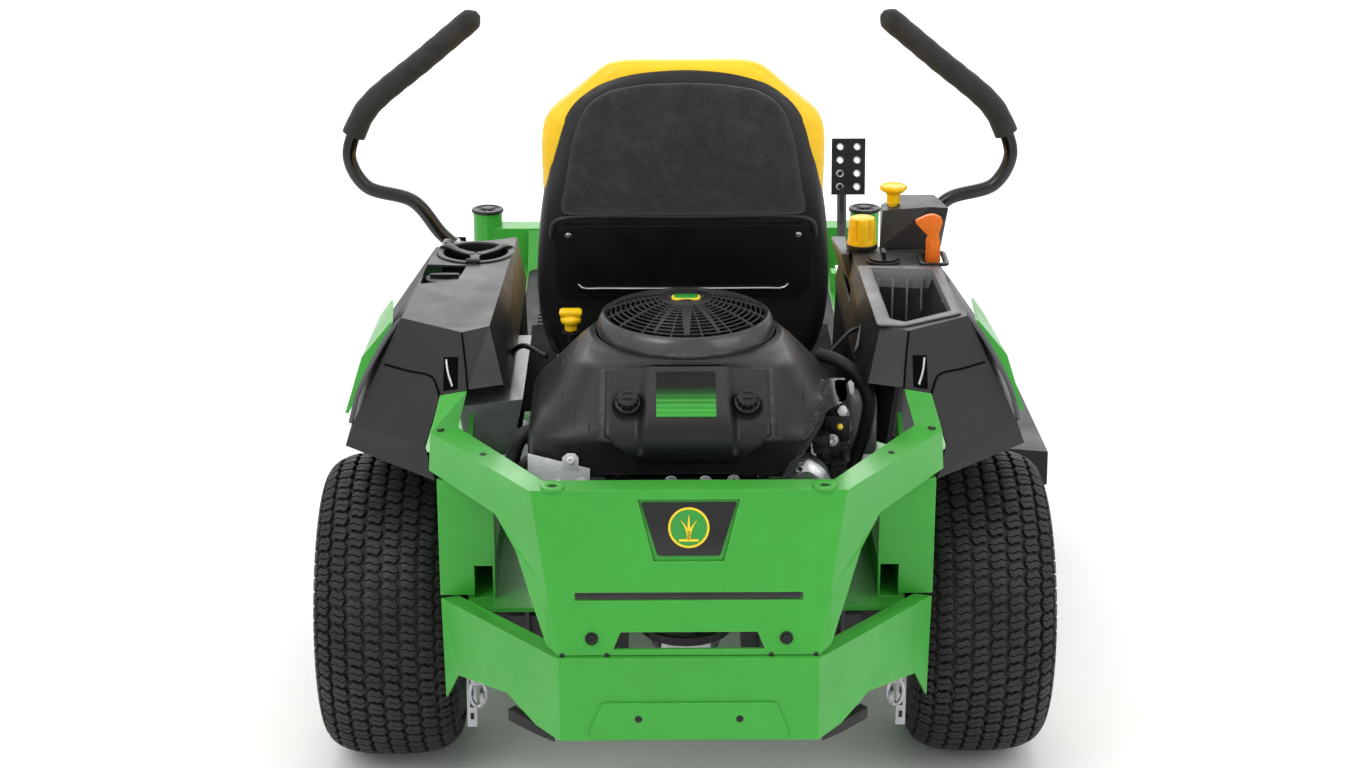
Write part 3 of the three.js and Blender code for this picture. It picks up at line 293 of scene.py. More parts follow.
MAT = {
    "green": green_paint(),
    "yellow_paint": yellow_paint(),
    "black_paint": black_paint(),
    "gloss_black": black_paint("gloss_black", 6, 0.2),
    "console": moulded("console_plastic", linear(30, 30, 31), 0.46, 0.07, 850, 0.16),
    "cover": moulded("cover_plastic", linear(20, 20, 21), 0.36, 0.05, 1100, 0.05),
    "dark": moulded("dark_plastic", linear(9, 9, 10), 0.42, 0.05, 1000, 0.03),
    "yellow": moulded("yellow_plastic", linear(255, 205, 8), 0.42, 0.03, 900, 0.0),
    "orange": moulded("orange_plastic", linear(245, 122, 28), 0.45, 0.03, 900, 0.0),
    "tank": tank_plastic(),
    "tyre": rubber(),
    "rubber": rubber("belt_rubber", 12, 0.6),
    "foam": foam(),
    "vinyl": vinyl("seat_vinyl", linear(255, 204, 5)),
    "border": vinyl("border_vinyl", linear(16, 16, 17), 0.42),
    "felt": felt(),
    "steel": metal("zinc_steel", (0.44, 0.44, 0.45), 0.32),
    "brushed": metal("brushed_steel", (0.6, 0.6, 0.61), 0.28, (1, 1, 14)),
    "cast_bright": metal("bright_casting", (0.56, 0.57, 0.58), 0.34, height=0.12, metallic=0.9),
    "shield": metal("aluminised_sheet", (0.7, 0.7, 0.71), 0.5, height=0.05, metallic=0.35),
    "satin": metal("satin_black", (0.09, 0.09, 0.095), 0.3, height=0.02, metallic=0.75),
    "rim": moulded("rim_plastic", linear(78, 79, 81), 0.42, 0.06, 850, 0.12),
    "cast": metal("cast_aluminium", (0.2, 0.205, 0.21), 0.5, height=0.25, metallic=0.85),
    "emblem": plain("emblem_green", linear(40, 150, 50), 0.3, coat=0.4),
    "mark": plain("emblem_yellow", linear(250, 215, 30), 0.35, coat=0.3),
    "label": label(),
    "mat": moulded("mat_rubber", linear(8, 8, 8), 0.6, 0.12, 500, 0.0),
    # flat near-black standing in for shade in slots and gaps: painted shade
    "void": plain("shadow_black", linear(2, 2, 2), 0.85, specular=0.08),
    "lining": moulded("lining_plastic", linear(120, 121, 124), 0.4, 0.06, 850, 0.1),
    "white": plain("white_label", linear(178, 180, 182), 0.45),
    "red": plain("red_plastic", linear(190, 40, 35), 0.4),
}


# ---------------------------------------------------------------- mesh helpers

def smoothing_group():
    group = bpy.data.node_groups.new("smooth_by_angle", "GeometryNodeTree")
    group.interface.new_socket("Geometry", in_out="INPUT", socket_type="NodeSocketGeometry")
    group.interface.new_socket("Geometry", in_out="OUTPUT", socket_type="NodeSocketGeometry")
    nodes = group.nodes
    source, sink = nodes.new("NodeGroupInput"), nodes.new("NodeGroupOutput")
    faces = nodes.new("GeometryNodeSetShadeSmooth")
    edges = nodes.new("GeometryNodeSetShadeSmooth")
    edges.domain = "EDGE"
    edges.inputs["Shade Smooth"].default_value = False
    angle = nodes.new("GeometryNodeInputMeshEdgeAngle")
    compare = nodes.new("FunctionNodeCompare")
    compare.inputs["B"].default_value = math.radians(38)
    links = group.links
    links.new(angle.outputs["Unsigned Angle"], compare.inputs["A"])
    links.new(source.outputs[0], faces.inputs["Geometry"])
    links.new(faces.outputs[0], edges.inputs["Geometry"])
    links.new(compare.outputs["Result"], edges.inputs["Selection"])
    links.new(edges.outputs[0], sink.inputs[0])
    return group


SMOOTH = smoothing_group()


def soften(obj, bevel=0.0, segments=2, dissolve=False, subdivide=0, angle=28):
    """Rounds sharp edges by the given width in millimetres, then smooths by angle."""
    if dissolve:
        planar = obj.modifiers.new("planar", "DECIMATE")
        planar.decimate_type = "DISSOLVE"
        planar.angle_limit = math.radians(0.6)
    if subdivide:
        obj.modifiers.new("subdivide", "SUBSURF").levels = subdivide
        obj.modifiers["subdivide"].render_levels = subdivide
    if bevel:
        rounding = obj.modifiers.new("bevel", "BEVEL")
        rounding.width = bevel * MM
        rounding.segments = segments
        rounding.limit_method = "ANGLE"
        rounding.angle_limit = math.radians(angle)
        rounding.harden_normals = False
    obj.modifiers.new("smooth", "NODES").node_group = SMOOTH
    return obj


class Shape:
    """Collects vertices and faces in millimetres; each face keeps the index of its material."""

    def __init__(self):
        self.verts, self.faces, self.marks = [], [], []

    def add(self, verts, faces, mark=0, matrix=None):
        base = len(self.verts)
        self.verts += [matrix @ Vector(v) if matrix else Vector(v) for v in verts]
        self.faces += [[base + i for i in face] for face in faces]
        self.marks += [mark] * len(faces)
        return self

    def rings(self, rings, mark=0, matrix=None, caps=True, loop=False):
        """Skins equal rings of points; the ends are closed unless the rings join in a loop."""
        count = len(rings[0])
        verts = [p for ring in rings for p in ring]
        faces = []
        steps = len(rings) if loop else len(rings) - 1
        for r in range(steps):
            a, b = r * count, ((r + 1) % len(rings)) * count
            for i in range(count):
                j = (i + 1) % count
                faces.append((a + i, a + j, b + j, b + i))
        if caps and not loop:
            faces.append(tuple(range(count))[::-1])
            faces.append(tuple(range((len(rings) - 1) * count, len(rings) * count)))
        return self.add(verts, faces, mark, matrix)

    def lathe(self, profile, segments=48, mark=0, matrix=None, loop=False):
        """Turns (radius, height) points about Z. A loop closes on itself; otherwise the ends are capped."""
        rings = [[(r * math.cos(t), r * math.sin(t), h)
                  for t in (2 * math.pi * i / segments for i in range(segments))] for r, h in profile]
        return self.rings(rings, mark, matrix, caps=True, loop=loop)

    def tube(self, points, radius, sides=16, mark=0, closed=False, flat=1.0):
        """Sweeps a round or flattened section along points, turning as little as it can."""
        path = [Vector(p) for p in points]
        count = len(path)
        radii = radius if isinstance(radius, (list, tuple)) else [radius] * count
        tangents = []
        for i in range(count):
            ahead = path[(i + 1) % count] if closed or i < count - 1 else path[i]
            behind = path[i - 1] if closed or i > 0 else path[i]
            tangents.append((ahead - behind).normalized())
        up = Vector((0, 0, 1)) if abs(tangents[0].z) < 0.9 else Vector((1, 0, 0))
        side = tangents[0].cross(up).normalized()
        rings = []
        for p, t, r in zip(path, tangents, radii):
            side = (side - t * side.dot(t)).normalized()
            other = t.cross(side)
            rings.append([p + (side * math.cos(a) + other * math.sin(a) * flat) * r
                          for a in (2 * math.pi * k / sides for k in range(sides))])
        return self.rings(rings, mark, loop=closed)

    def slab(self, outline, low, high, mark=0, matrix=None):
        """A prism between two heights on an outline of (x, y) points."""
        return self.rings([[(x, y, low) for x, y in outline], [(x, y, high) for x, y in outline]], mark, matrix)

    def box(self, low, high, mark=0, matrix=None):
        (ax, ay, az), (bx, by, bz) = low, high
        return self.slab([(ax, ay), (bx, ay), (bx, by), (ax, by)], az, bz, mark, matrix)

    def bolt(self, point, axis, radius=8.0, height=5.0, mark=0, washer=1.5):
        """A hexagon-headed bolt on a washer, with a chamfered head and a dished top."""
        m = facing(point, axis)
        if washer:
            self.lathe([(radius * 1.45, 0), (radius * 1.45, washer * 0.7), (radius * 1.35, washer)], 24, mark, m)
        hexagon = [(math.cos(k * math.pi / 3), math.sin(k * math.pi / 3)) for k in range(6)]
        levels = ((1.0, washer), (1.0, washer + height * 0.75), (0.86, washer + height),
                  (0.6, washer + height), (0.5, washer + height * 0.85))
        return self.rings([[(x * radius * s, y * radius * s, h) for x, y in hexagon] for s, h in levels], mark, m)

    def dome(self, point, axis, radius=8.0, height=4.0, mark=0, socket=0.4):
        """A button-headed fastener with a small recess in its middle."""
        profile = [(radius, 0), (radius * 1.0, height * 0.25), (radius * 0.9, height * 0.6),
                   (radius * 0.66, height * 0.9), (radius * socket, height)]
        profile += [(radius * socket * 0.9, height * 0.5)]
        return self.lathe(profile, 20, mark, facing(point, axis))


def facing(point, axis, across=None):
    """A frame at point whose Z looks along axis."""
    z = Vector(axis).normalized()
    guess = Vector(across) if across else (Vector((1, 0, 0)) if abs(z.x) < 0.8 else Vector((0, 1, 0)))
    x = (guess - z * guess.dot(z)).normalized()
    y = z.cross(x)
    return Matrix(((x.x, y.x, z.x, point[0]), (x.y, y.y, z.y, point[1]), (x.z, y.z, z.z, point[2]), (0, 0, 0, 1)))


def mesh_object(name, shape, materials):
    mesh = bpy.data.meshes.new(name)
    mesh.from_pydata([place(v) for v in shape.verts], [], shape.faces)
    for key in materials:
        mesh.materials.append(MAT[key])
    mesh.polygons.foreach_set("material_index", shape.marks)
    made = bmesh.new()
    made.from_mesh(mesh)
    bmesh.ops.remove_doubles(made, verts=made.verts, dist=1e-6)
    bmesh.ops.recalc_face_normals(made, faces=made.faces)
    made.to_mesh(mesh)
    made.free()
    obj = bpy.data.objects.new(name, mesh)
    bpy.context.scene.collection.objects.link(obj)
    return obj


def piece(name, shape, material, body, stands_for=(), bevel=0.0, segments=2, subdivide=0, angle=28):
    """Makes a visible piece that rides on a body and takes its finish from a slot."""
    keys = (material,) if isinstance(material, str) else material
    obj = mesh_object(name, shape, keys)
    soften(obj, bevel, segments, subdivide=subdivide, angle=angle)
    return register(obj, body, stands_for)


def register(obj, body, stands_for=()):
    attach(obj, body)
    if stands_for:
        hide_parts(*stands_for)
    return obj


def curve_points(points, steps):
    """Points evenly spread along a centripetal Catmull-Rom curve."""
    pts = [Vector(p) for p in points]
    pts = [pts[0] * 2 - pts[1], *pts, pts[-1] * 2 - pts[-2]]
    dense = []
    for i in range(1, len(pts) - 2):
        p0, p1, p2, p3 = pts[i - 1:i + 3]
        t0 = 0.0
        t1 = t0 + (p1 - p0).length ** 0.5
        t2 = t1 + (p2 - p1).length ** 0.5
        t3 = t2 + (p3 - p2).length ** 0.5
        for k in range(24):
            t = t1 + (t2 - t1) * k / 24
            a1 = p0 * ((t1 - t) / (t1 - t0)) + p1 * ((t - t0) / (t1 - t0))
            a2 = p1 * ((t2 - t) / (t2 - t1)) + p2 * ((t - t1) / (t2 - t1))
            a3 = p2 * ((t3 - t) / (t3 - t2)) + p3 * ((t - t2) / (t3 - t2))
            b1 = a1 * ((t2 - t) / (t2 - t0)) + a2 * ((t - t0) / (t2 - t0))
            b2 = a2 * ((t3 - t) / (t3 - t1)) + a3 * ((t - t1) / (t3 - t1))
            dense.append(b1 * ((t2 - t) / (t2 - t1)) + b2 * ((t - t1) / (t2 - t1)))
    dense.append(pts[-2])
    lengths = [0.0]
    for a, b in zip(dense, dense[1:]):
        lengths.append(lengths[-1] + (b - a).length)
    result, k = [], 0
    for i in range(steps + 1):
        want = lengths[-1] * i / steps
        while k < len(dense) - 2 and lengths[k + 1] < want:
            k += 1
        span = max(lengths[k + 1] - lengths[k], 1e-9)
        result.append(dense[k].lerp(dense[k + 1], (want - lengths[k]) / span))
    return result


def rounded(outline, radius, steps=5):
    """The outline with each corner replaced by a curve that starts `radius` before it."""
    result = []
    count = len(outline)
    for i, corner in enumerate(outline):
        p = Vector(corner)
        before, after = Vector(outline[i - 1]), Vector(outline[(i + 1) % count])
        a = p + (before - p).normalized() * min(radius, (before - p).length * 0.45)
        b = p + (after - p).normalized() * min(radius, (after - p).length * 0.45)
        for k in range(steps + 1):
            t = k / steps
            result.append(tuple(a * (1 - t) ** 2 + p * 2 * t * (1 - t) + b * t ** 2))
    return result


def mirrored(points, sign):
    return [(sign * x, y, z) for x, y, z in points]


# ---------------------------------------------------------------- CAD nodes that stay in view

def carry(nodes, material, bevel=1.2, segments=2, dissolve=True, angle=28):
    for name in nodes:
        obj = NODES[name]
        obj.data.materials.clear()
        obj.data.materials.append(MAT[material])
        soften(obj, bevel, segments, dissolve, angle=angle)


carry(["main_frame"], "green", 2.5)
carry(["rear_guard", "rear_bumper"], "green", 1.3)
carry(["left_fender_trim", "right_fender_trim"], "green", 4.0, 3)
carry(["left_caster_fork", "right_caster_fork"], "green", 2.0)
carry(["left_fender", "right_fender"], "console", 1.4)
carry(["control_panel"], "console", 2.2, 3)
carry(["floor_pan", "mower_deck"], "green", 1.5)
carry(["seat_base", "seat_pan"], "black_paint", 1.5)
carry(["left_transaxle", "right_transaxle"], "black_paint", 3.0)
carry(["left_lever_bracket", "right_lever_bracket"], "black_paint", 1.5)
carry(["lift_pedal"], "black_paint", 0.8)
carry(["fuel_tank"], "tank", 9.0, 4)
carry(["battery"], "dark", 3.0)
carry(["engine_block"], "cast", 3.0)
carry(["muffler"], "black_paint", 2.0)
carry(["cooling_fan"], "cover", 1.0)
carry(["traction_belt", "deck_belt"], "rubber", 1.0)
carry(["crank_pulley", "left_input_pulley", "right_input_pulley"], "steel", 0.8)
carry(["left_blade", "right_blade"], "brushed", 0.8)
carry(["discharge_chute"], "dark", 1.5)
carry(["seat_back_panel"], "dark", 2.0)
carry(["ignition_key"], "dark", 1.5)
carry(["dipstick"], "yellow", 1.2)
carry(["left_bypass_rod", "right_bypass_rod"], "steel", 0.4)


# ---------------------------------------------------------------- wheels

DRIVE = {"radius": 228.5, "width": 206, "x": 436, "bead": 102.3, "core": 165}
CASTER = {"radius": 139.5, "width": 100, "x": 364, "y": 1159, "bead": 54.3, "core": 98}


def crown(wheel, steps=80):
    """Half section of a tyre, from the middle of the tread to its widest point: (x, r, nx, nr, arc)."""
    half, rise = wheel["width"] / 2, wheel["radius"] - wheel["core"]
    points, arc = [], 0.0
    for i in range(steps + 1):
        t = (i / steps) * math.pi / 2
        x, r = half * math.sin(t) ** (2 / 3), wheel["core"] + rise * math.cos(t) ** (2 / 3)
        if points:
            arc += math.hypot(x - points[-1][0], r - points[-1][1])
        nx, nr = (x / half) ** 2 / half, ((r - wheel["core"]) / rise) ** 2 / rise
        size = math.hypot(nx, nr)
        points.append((x, r, nx / size, nr / size, arc))
    return points


def on_crown(section, u):
    """The section point at arc length |u|, mirrored for a negative u."""
    want, sign = min(abs(u), section[-1][4]), math.copysign(1, u)
    k = next((i for i in range(1, len(section)) if section[i][4] >= want), len(section) - 1)
    a, b = section[k - 1], section[k]
    f = (want - a[4]) / max(b[4] - a[4], 1e-9)
    x, r, nx, nr = (a[i] + (b[i] - a[i]) * f for i in range(4))
    return sign * x, r, sign * nx, nr


def tyre_body(shape, wheel, matrix, groove, segments, tread_end):
    """The carcass: grooved crown, side walls with moulded rings, beads and a hollow inside."""
    section = crown(wheel)
    half, bead, core = wheel["width"] / 2, wheel["bead"], wheel["core"]
    right = []
    for x, r, nx, nr, arc in section:
        depth = groove(arc) if arc < tread_end else groove(tread_end) * max(0, 1 - (arc - tread_end) / 12)
        right.append((r - nr * depth, x - nx * depth))
    wall = core - bead
    side = [(core - wall * 0.15, half * 0.995), (core - wall * 0.32, half * 0.975),
            (core - wall * 0.36, half * 0.985), (core - wall * 0.42, half * 0.98), (core - wall * 0.45, half * 0.955),
            (core - wall * 0.7, half * 0.88), (core - wall * 0.75, half * 0.9), (core - wall * 0.84, half * 0.875),
            (core - wall * 0.88, half * 0.83), (bead, half * 0.76)]
    inner = [(bead, half * 0.62), (core * 0.95, half * 0.8), (wheel["radius"] * 0.9, half * 0.55)]
    outer = right + side
    profile = [(r, -x) for r, x in reversed(outer[1:])] + outer
    profile += inner + [(r, -x) for r, x in reversed(inner)]
    shape.lathe(profile, segments, 0, matrix, loop=True)
    return section


def wave_block():
    """Upper half of one turf block: a hexagon half with a wavy edge, above an S-shaped groove."""
    return [(-12.0, 0.9), (-8.4, 9.9), (-4.4, 12.0), (3.6, 8.0), (8.0, 9.4), (12.0, 0.9), (4.6, -1.6), (-4.2, 2.9)]


def turf_tread(shape, wheel, section, matrix, rows, columns, pitch, height, hand):
    """Rows of wavy hexagonal blocks, staggered by half a pitch, wrapped over the crown."""
    half_block = wave_block()
    cx = sum(p[0] for p in half_block) / len(half_block)
    cy = sum(p[1] for p in half_block) / len(half_block)
    levels = ((1.05, 0.0), (0.99, height - 1.4), (0.95, height - 0.4), (0.84, height))
    for c in range(columns):
        middle = (c - (columns - 1) / 2) * pitch
        for k in range(rows):
            start = 2 * math.pi * (k + 0.5 * (c % 2)) / rows
            for flip in (1, -1):
                rings = []
                for scale, lift in levels:
                    ring = []
                    for px, py in half_block:
                        u = middle + flip * hand * (cx + (px - cx) * scale)
                        v = flip * (cy + (py - cy) * scale)
                        x, r, nx, nr = on_crown(section, u)
                        r += nr * (lift - height)
                        x += nx * (lift - height)
                        angle = start + v / wheel["radius"]
                        ring.append((r * math.cos(angle), r * math.sin(angle), x))
                    rings.append(ring)
                shape.rings(rings, 0, matrix)


def drive_rim(sign):
    """A pressed steel wheel with rolled lips, a dished disc, hub, nuts and valve."""
    shape = Shape()
    matrix = facing((sign * DRIVE["x"], 0, 228.5), (sign, 0, 0))
    shape.lathe([(17.2, -14), (36, -14), (38, 4), (60, 8), (76, 3), (88, 10), (95, -6), (97, -80), (101, -81.5),
                 (105, -84), (107.5, -83), (107, -79.5), (102, -78), (101.8, -60), (98, -40), (98, 40), (101.8, 60),
                 (102, 78), (107, 79.5), (107.5, 83), (105, 84), (101, 81.5), (97, 80), (95, 30), (89, 18), (77, 9),
                 (60, 14), (40, 10), (34, 22), (33, 36), (17.2, 36)], 72, 0, matrix, loop=True)
    for k in range(4):
        a = k * math.pi / 2 + 0.4
        shape.bolt(matrix @ Vector((50 * math.cos(a), 50 * math.sin(a), 12)), (sign, 0, 0), 10, 9, 1)
    shape.lathe([(16.4, 36), (27, 36.2), (27, 40), (24, 44), (10, 46), (1, 46)], 32, 2, matrix)
    stem = [matrix @ Vector((86, 0, 8 + t * 3)) for t in range(8)]
    shape.tube(stem, [5, 5, 4, 3, 3, 3.4, 3.4, 2.6], 12, 2)
    return shape


def caster_rim(sign):
    shape = Shape()
    matrix = facing((sign * CASTER["x"], CASTER["y"], 139.5), (sign, 0, 0))
    half = [(8.2, 40), (20, 40), (22, 36), (23, 10), (42, 6), (47, 12), (49, 36), (52, 38.5), (56, 41), (57.5, 39.5),
            (57, 37.5), (54, 36), (53.5, 24)]
    shape.lathe(half + [(r, -h) for r, h in reversed(half)], 48, 0, matrix, loop=True)
    for k in range(5):
        a = 2 * math.pi * k / 5
        for way in (1, -1):
            spot = matrix @ Vector((33 * math.cos(a), 33 * math.sin(a), way * 8))
            shape.bolt(spot, (sign * way, 0, 0), 4.5, 4, 1)
    return shape


for side, sign in SIDES:
    hub = facing((sign * DRIVE["x"], 0, 228.5), (sign, 0, 0))
    shape = Shape()
    section = tyre_body(shape, DRIVE, hub, lambda arc: 7.5, 112, 128)
    turf_tread(shape, DRIVE, section, hub, 57, 10, 25.6, 7.5, sign)
    piece(f"{side}_turf_tyre", shape, "tyre", f"{side}_drive_wheel", [f"{side}_drive_tyre"])
    piece(f"{side}_pressed_wheel", drive_rim(sign), ("yellow_paint", "steel", "dark"), f"{side}_drive_wheel",
          [f"{side}_drive_rim"])
    hub = facing((sign * CASTER["x"], CASTER["y"], 139.5), (sign, 0, 0))
    shape = Shape()
    ribs = lambda arc: 3.2 * max(0.0, min(1.0, 2.2 * math.cos(arc * 2 * math.pi / 19.0 + math.pi) - 0.9))
    tyre_body(shape, CASTER, hub, ribs, 96, 62)
    piece(f"{side}_ribbed_tyre", shape, "tyre", f"{side}_caster_wheel", [f"{side}_caster_tyre"])
    piece(f"{side}_caster_disc", caster_rim(sign), ("yellow_paint", "steel"), f"{side}_caster_wheel",
          [f"{side}_caster_rim"])


# ---------------------------------------------------------------- steering levers

def lever_path(sign):
    return mirrored([(370, 495, 644), (394, 495, 667), (437, 495, 721), (513, 495, 747), (538, 495, 796),
                     (520, 495, 853), (499, 495, 884), (411, 495, 957), (323, 495, 1030)], sign)


for side, sign in SIDES:
    path = curve_points(lever_path(sign), 96)
    shape = Shape()
    shape.tube(path[:94], 11.5, 24)
    knuckle = facing((sign * 370, 484.6, 640), (0, 1, 0))
    shape.lathe([(15, 0), (16, 1), (16, 19.8), (15, 20.8)], 32, 0, knuckle)
    shape.bolt((sign * 382, 483, 652), (0, -1, 0), 6, 4, 1)
    piece(f"{side}_steering_lever", shape, ("gloss_black", "steel"), f"{side}_lever",
          [f"{side}_control_lever"])
    shape = Shape()
    grip, count = path[47:], len(path[47:])
    radii = []
    for i in range(count):
        t = i / (count - 1)
        end = min(1.0, (1 - t) * 22) ** 0.5
        radii.append((19.0 if t > 0.03 else 19.6) * max(end, 0.3) - 0.35 * math.cos(t * 60))
    shape.tube(grip, radii, 28)
    piece(f"{side}_foam_grip", shape, "foam", f"{side}_lever", [f"{side}_grip"])
    shape = Shape()
    for y, way in ((475.5, -1), (510.5, 1)):
        shape.bolt((sign * 370, y, 640), (0, way, 0), 9, 6)
    shape.bolt((sign * 404.5, 495, 598), (sign, 0, 0), 10, 6)
    piece(f"{side}_lever_bolts", shape, "steel", f"{side}_arm")


# ---------------------------------------------------------------- seat

RAKE, REAR = -0.188, 118


def leaned(x, depth, z):
    """A point of the backrest, from its width, its depth from the rear face and its height."""
    return x, REAR + depth + (z - 731) * RAKE, z


def both(half):
    """A closed outline from its right half, listed from the foot up."""
    return half + [(-x, z) for x, z in reversed(half) if x > 0.5]


def remeshed(name, shape, material, voxel=6.0):
    obj = mesh_object(name, shape, (material,))
    grid = obj.modifiers.new("grid", "REMESH")
    grid.mode = "VOXEL"
    grid.voxel_size = voxel * MM
    mesh = bpy.data.meshes.new_from_object(obj.evaluated_get(bpy.context.evaluated_depsgraph_get()))
    obj.modifiers.clear()
    obj.data = mesh
    mesh.materials.clear()
    mesh.materials.append(MAT[material])
    return obj


def reshape(obj, move):
    """Moves every vertex by a function of its place in millimetres."""
    for v in obj.data.vertices:
        p = (v.co - AXLE) / MM
        v.co = place(p + Vector(move(*p)))


def inflate(obj, cap, pressure=4.0, frames=20, smoothing=8, edge_pull=1.5):
    """Puffs a padded piece up with a cloth simulation, out along its normals by at most cap millimetres."""
    scene = bpy.context.scene
    mesh = obj.data
    before = [v.co.copy() for v in mesh.vertices]
    normals = [v.normal.copy() for v in mesh.vertices]
    cloth = obj.modifiers.new("puff", "CLOTH")
    cloth.settings.quality = 5
    cloth.settings.mass = 0.3
    cloth.settings.tension_stiffness = 15
    cloth.settings.compression_stiffness = 15
    cloth.settings.bending_stiffness = 3
    cloth.settings.use_pressure = True
    cloth.settings.uniform_pressure_force = pressure
    cloth.settings.effector_weights.gravity = 0
    cloth.point_cache.frame_start = 1
    cloth.point_cache.frame_end = frames
    for frame_number in range(1, frames + 1):
        scene.frame_set(frame_number)
    puffed = obj.evaluated_get(bpy.context.evaluated_depsgraph_get()).data
    swell = [(v.co - a).dot(n) / MM for v, a, n in zip(puffed.vertices, before, normals)]
    obj.modifiers.remove(cloth)
    scene.frame_set(1)
    swell = [cap * (1 - math.exp(-s / cap)) if s > 0 else max(0.1 * s, -edge_pull) for s in swell]
    near = [[] for _ in swell]
    for edge in mesh.edges:
        a, b = edge.vertices
        near[a].append(b)
        near[b].append(a)
    for _ in range(smoothing):
        swell = [(s + sum(swell[k] for k in others)) / (1 + len(others)) for s, others in zip(swell, near)]
    for vertex, normal, s in zip(mesh.vertices, normals, swell):
        vertex.co = vertex.co + normal * s * MM


def groove(distance, width, depth):
    return depth * math.exp(-(distance / width) ** 2)


def seat_back_pad():
    """Yellow vinyl pad of the backrest: bolstered, with sewn channels on its front."""
    half = [(184, 556), (204, 640), (207, 730), (210, 890), (208, 938), (198, 962), (152, 1000), (112, 1038),
            (84, 1043), (0, 1043)]
    outline = rounded(both(half), 16, 3)
    shape = Shape()
    shape.rings([[leaned(x * s, d, 800 + (z - 800) * s) for x, z in outline]
                 for s, d in ((0.955, 14), (1.0, 24), (1.0, 50), (0.955, 62))])
    obj = remeshed("seat_back_pad", shape, "vinyl")

    def front(x, y, z):
        depth = y - REAR - (z - 731) * RAKE
        share = max(0.0, min(1.0, (depth - 20) / 40))
        wing = 1 / (1 + math.exp(-(abs(x) - 138) / 10))
        belly = math.exp(-((z - 690) / 90) ** 2)
        return 0, share * (10 * wing - 8 * (1 - wing) + 7 * belly * (1 - wing)), 0

    reshape(obj, front)
    inflate(obj, 10)

    def seams(x, y, z):
        depth = y - REAR - (z - 731) * RAKE
        if depth < 36:
            return 0, 0, 0
        inner = abs(x) < 132
        cut = max([groove(z - level, 5, 6.5) for level in (640, 730, 820, 910)] if inner else [0])
        cut = max(cut, groove(abs(x) - 134, 5, 7.5) if z < 965 else 0,
                  groove(z - 968, 5, 5) if inner else 0)
        return 0, -cut, 0

    reshape(obj, seams)
    soften(obj, subdivide=1)
    register(obj, "seat", ["seat_back"])


def seat_cushion_pad():
    """Yellow vinyl seat cushion with raised bolsters, a rolled front edge and sewn channels."""
    outline = rounded([(-196, 246), (196, 246), (200, 420), (194, 586), (-194, 586), (-200, 420)], 46, 6)
    shape = Shape()
    shape.rings([[(x * s, 416 + (y - 416) * s, z) for x, y in outline]
                 for s, z in ((0.95, 549), (1.0, 560), (1.0, 622), (0.95, 636))])
    obj = remeshed("seat_cushion_pad", shape, "vinyl")

    def top(x, y, z):
        share = max(0.0, min(1.0, (z - 570) / 60))
        wing = 1 / (1 + math.exp(-(abs(x) - 140) / 11))
        dip = -10 * (1 - wing) * (1 - ((y - 400) / 260) ** 2)
        nose = -16 * max(0.0, (y - 520) / 70) ** 2
        return 0, 0, share * (7 * wing + dip + nose)

    reshape(obj, top)
    inflate(obj, 10)

    def seams(x, y, z):
        if z < 596:
            return 0, 0, groove(z - 590, 3.0, 0)
        inner = abs(x) < 134
        cut = max([groove(y - row, 5, 6.5) for row in (310, 390, 470, 545)] if inner else [0])
        cut = max(cut, groove(abs(x) - 136, 5, 7.5))
        return 0, 0, -cut

    reshape(obj, seams)
    soften(obj, subdivide=1)
    register(obj, "seat", ["seat_cushion"])


SHELL = [(196, 556), (216, 620), (221, 689), (216, 770), (210, 821), (198, 885), (182, 948), (166, 975), (145, 995),
         (113, 1017), (67, 1029), (0, 1033)]


def seat_shell():
    """Back of the seat: a vinyl-bordered shell, a felt panel and a piping line."""
    outline = rounded(both(SHELL), 30, 6)
    middle = (0, 800)
    shape = Shape()
    levels = ((0.97, 46), (1.0, 34), (1.0, 22), (0.985, 10), (0.955, 4), (0.9, 1.5), (0.5, 0.5), (0.02, 0.5))
    shape.rings([[leaned(x * s, d, middle[1] + (z - middle[1]) * s) for x, z in outline] for s, d in levels])
    piece("seat_shell", shape, "border", "seat")
    felt_half = [(168, 806), (183, 812), (174, 853), (163, 920), (150, 962), (134, 984), (107, 1002), (55, 1011),
                 (0, 1013)]
    outline = rounded(both(felt_half), 14, 4)
    centre = 905
    shape = Shape()
    levels = ((1.0, 3.0), (1.0, -1.5), (0.985, -4.5), (0.94, -7.5), (0.84, -10), (0.6, -12), (0.3, -13), (0.02, -13))
    shape.rings([[leaned(x * s, d, centre + (z - centre) * s) for x, z in outline] for s, d in levels])
    obj = piece("seat_felt", shape, "felt", "seat")
    ridge = curve_points([leaned(x, -2, z) for x, z in
                          ((-196, 770), (-192, 794), (-178, 801), (0, 803), (178, 801), (192, 794), (196, 770))], 60)
    shape = Shape()
    shape.tube(ridge, 4.2, 12)
    piece("seat_piping", shape, "border", "seat")
    shape = Shape()
    shape.tube(curve_points([leaned(x, -10.5, z) for x, z in
                             ((-158, 695), (-152, 689), (-120, 688), (120, 688), (152, 689), (158, 695))], 40), 2.2, 10)
    piece("panel_ridge", shape, "brushed", "seat")
    shape = Shape()
    for x in (-171, 171):
        shape.dome(leaned(x, -9, 775), (0, -1, -0.188), 5, 2.5, 0)
    piece("panel_screws", shape, "steel", "seat")
    return obj


seat_back_pad()
seat_cushion_pad()
seat_shell()


# ---------------------------------------------------------------- engine

CRANK_Y = -161
BLOCK_REAR = -330
COVER_FLANGE = ((-291, 700), (-310, 684), (-326, 670), (-346, 652), (-359, 638), (-365, 626), (-366, 612), (-364, 602),
                (-348, 594))
COVER_BOSS = ((-292, 704), (-312, 692), (-342, 674), (-362, 661), (-373, 648), (-376, 628), (-373, 608), (-366, 600),
              (-350, 596))


